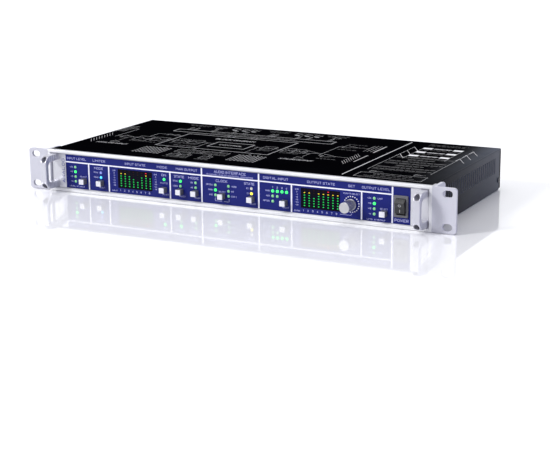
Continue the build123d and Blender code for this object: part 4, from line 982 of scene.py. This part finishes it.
DIN_FACE_R = 6.55
din = bmesh.new()
for points in solids("din_sockets"):
    centre, _ = end_disc(points, 1, 0.05)
    lathe(din, (centre.x, REAR, centre.z), [
        (-0.4, DIN_FACE_R), (0.25, DIN_FACE_R), (0.4, DIN_FACE_R - 0.25), (0.4, DIN_FACE_R - 0.6),
        (-0.25, DIN_FACE_R - 0.85), (-0.4, DIN_FACE_R)], 48)
piece("din_rims", din, grey_plastic, weld=1e-4)

module_low, module_high = box("option_transceiver")
module_x, module_z = (module_low.x + module_high.x) / 2, (module_low.z + module_high.z) / 2
FIBRE_SPACING = 12.7
ferrules = bmesh.new()
for side in (-1, 1):
    x, z = module_x + side * FIBRE_SPACING / 2, module_z + 0.8
    lathe(ferrules, (x, REAR, z), [
        (-12.0, 0), (-12.0, 2.1), (-3.6, 2.1), (-3.3, 1.8), (-3.3, 0.7), (-5.0, 0.7), (-5.0, 0)], 28)
    block(ferrules, (x - 2.9, REAR - 12.0, z - 2.3), (x + 2.9, REAR - 4.6, z + 2.9))
piece("module_ferrules", ferrules, ivory, bevel=0.3)

# ---- floor, lights, camera ----------------------------------------------
FLOOR_HALF, FLOOR_GAP = 9000.0, 0.2
floor_mesh = bmesh.new()
bmesh.ops.create_grid(floor_mesh, x_segments=8, y_segments=8, size=FLOOR_HALF * MM)
floor_data = bpy.data.meshes.new("floor")
floor_mesh.to_mesh(floor_data)
floor_mesh.free()
floor = bpy.data.objects.new("floor", floor_data)
floor.location = (0, 0, cad_box[0].z - FLOOR_GAP * MM)
scene.collection.objects.link(floor)
f = Finish("floor_pale", specular=0.3, coat=1.0)
f.shader.inputs["Coat Roughness"].default_value = 0.05
f.shader.inputs["Coat IOR"].default_value = 1.7
cloud = f.noise(3.0)
pale = f.tint((0.90, 0.90, 0.92), cloud, 0.012)
floor_data.materials.append(f.give(base=pale, rough=f.vary(cloud, 0.42, 0.5)))

world = bpy.data.worlds.new("studio")
scene.world = world
world.use_nodes = True
tree = world.node_tree
background = tree.nodes["Background"]
coords = tree.nodes.new("ShaderNodeTexCoord")
split = tree.nodes.new("ShaderNodeSeparateXYZ")
tree.links.new(coords.outputs["Generated"], split.inputs[0])


def world_span(value, low, high, to_low, to_high):
    node = tree.nodes.new("ShaderNodeMapRange")
    node.interpolation_type = "SMOOTHSTEP"
    for key, number in (("From Min", low), ("From Max", high), ("To Min", to_low), ("To Max", to_high)):
        node.inputs[key].default_value = number
    tree.links.new(value, node.inputs["Value"])
    return node.outputs[0]


level = world_span(split.outputs["Z"], 0.05, 0.95, 1.25, 0.35)
side = world_span(split.outputs["X"], -0.9, 0.9, 1.1, 0.75)
front = world_span(split.outputs["Y"], -0.9, 0.2, 0.62, 1.0)
strength = level
for share in (side, front):
    scaled = tree.nodes.new("ShaderNodeMath")
    scaled.operation = "MULTIPLY"
    tree.links.new(strength, scaled.inputs[0])
    tree.links.new(share, scaled.inputs[1])
    strength = scaled.outputs[0]
tree.links.new(strength, background.inputs["Strength"])
cool = tree.nodes.new("ShaderNodeMix")       # a blue cast from the right
cool.data_type = "RGBA"
cool.inputs[6].default_value, cool.inputs[7].default_value = (0.97, 0.98, 1.0, 1.0), (0.58, 0.61, 1.0, 1.0)
tree.links.new(world_span(split.outputs["X"], 0.15, 0.85, 0.0, 1.0), cool.inputs[0])
tree.links.new(cool.outputs[2], background.inputs["Color"])


def direction(azimuth, elevation):
    """Towards that azimuth, counted from the front of the part, and elevation, in degrees."""
    a, e = math.radians(azimuth), math.radians(elevation)
    return Vector((math.sin(a) * math.cos(e), -math.cos(a) * math.cos(e), math.sin(e)))


def sun(name, azimuth, elevation, strength, angle):
    data = bpy.data.lights.new(name, "SUN")
    data.energy, data.angle = strength, math.radians(angle)
    obj = bpy.data.objects.new(name, data)
    obj.rotation_euler = direction(azimuth, elevation).to_track_quat("Z", "Y").to_euler()
    scene.collection.objects.link(obj)


sun("key", -42, 30, 1.95, 12)
sun("top", 0, 80, 1.7, 60)

CAMERA_PLACE = (0.65945, -1.17587, 0.3196)
AZIMUTH, ELEVATION, ROLL = 27.31, 14.03, math.radians(-0.51)
SENSOR, LENS = 36.0, 90.49
back, right = direction(AZIMUTH, ELEVATION), direction(AZIMUTH + 90, 0)
up = back.cross(right)
turned = math.cos(ROLL) * right + math.sin(ROLL) * up
up = math.cos(ROLL) * up - math.sin(ROLL) * right
camera_data = bpy.data.cameras.new("camera")
camera_data.sensor_width, camera_data.lens = SENSOR, LENS
camera_data.clip_start, camera_data.clip_end = 0.01, 100.0
camera = bpy.data.objects.new("camera", camera_data)
camera.matrix_world = Matrix.Translation(CAMERA_PLACE) @ Matrix((turned, up, back)).transposed().to_4x4()
scene.collection.objects.link(camera)
scene.camera = camera
scene.view_settings.view_transform = "Standard"
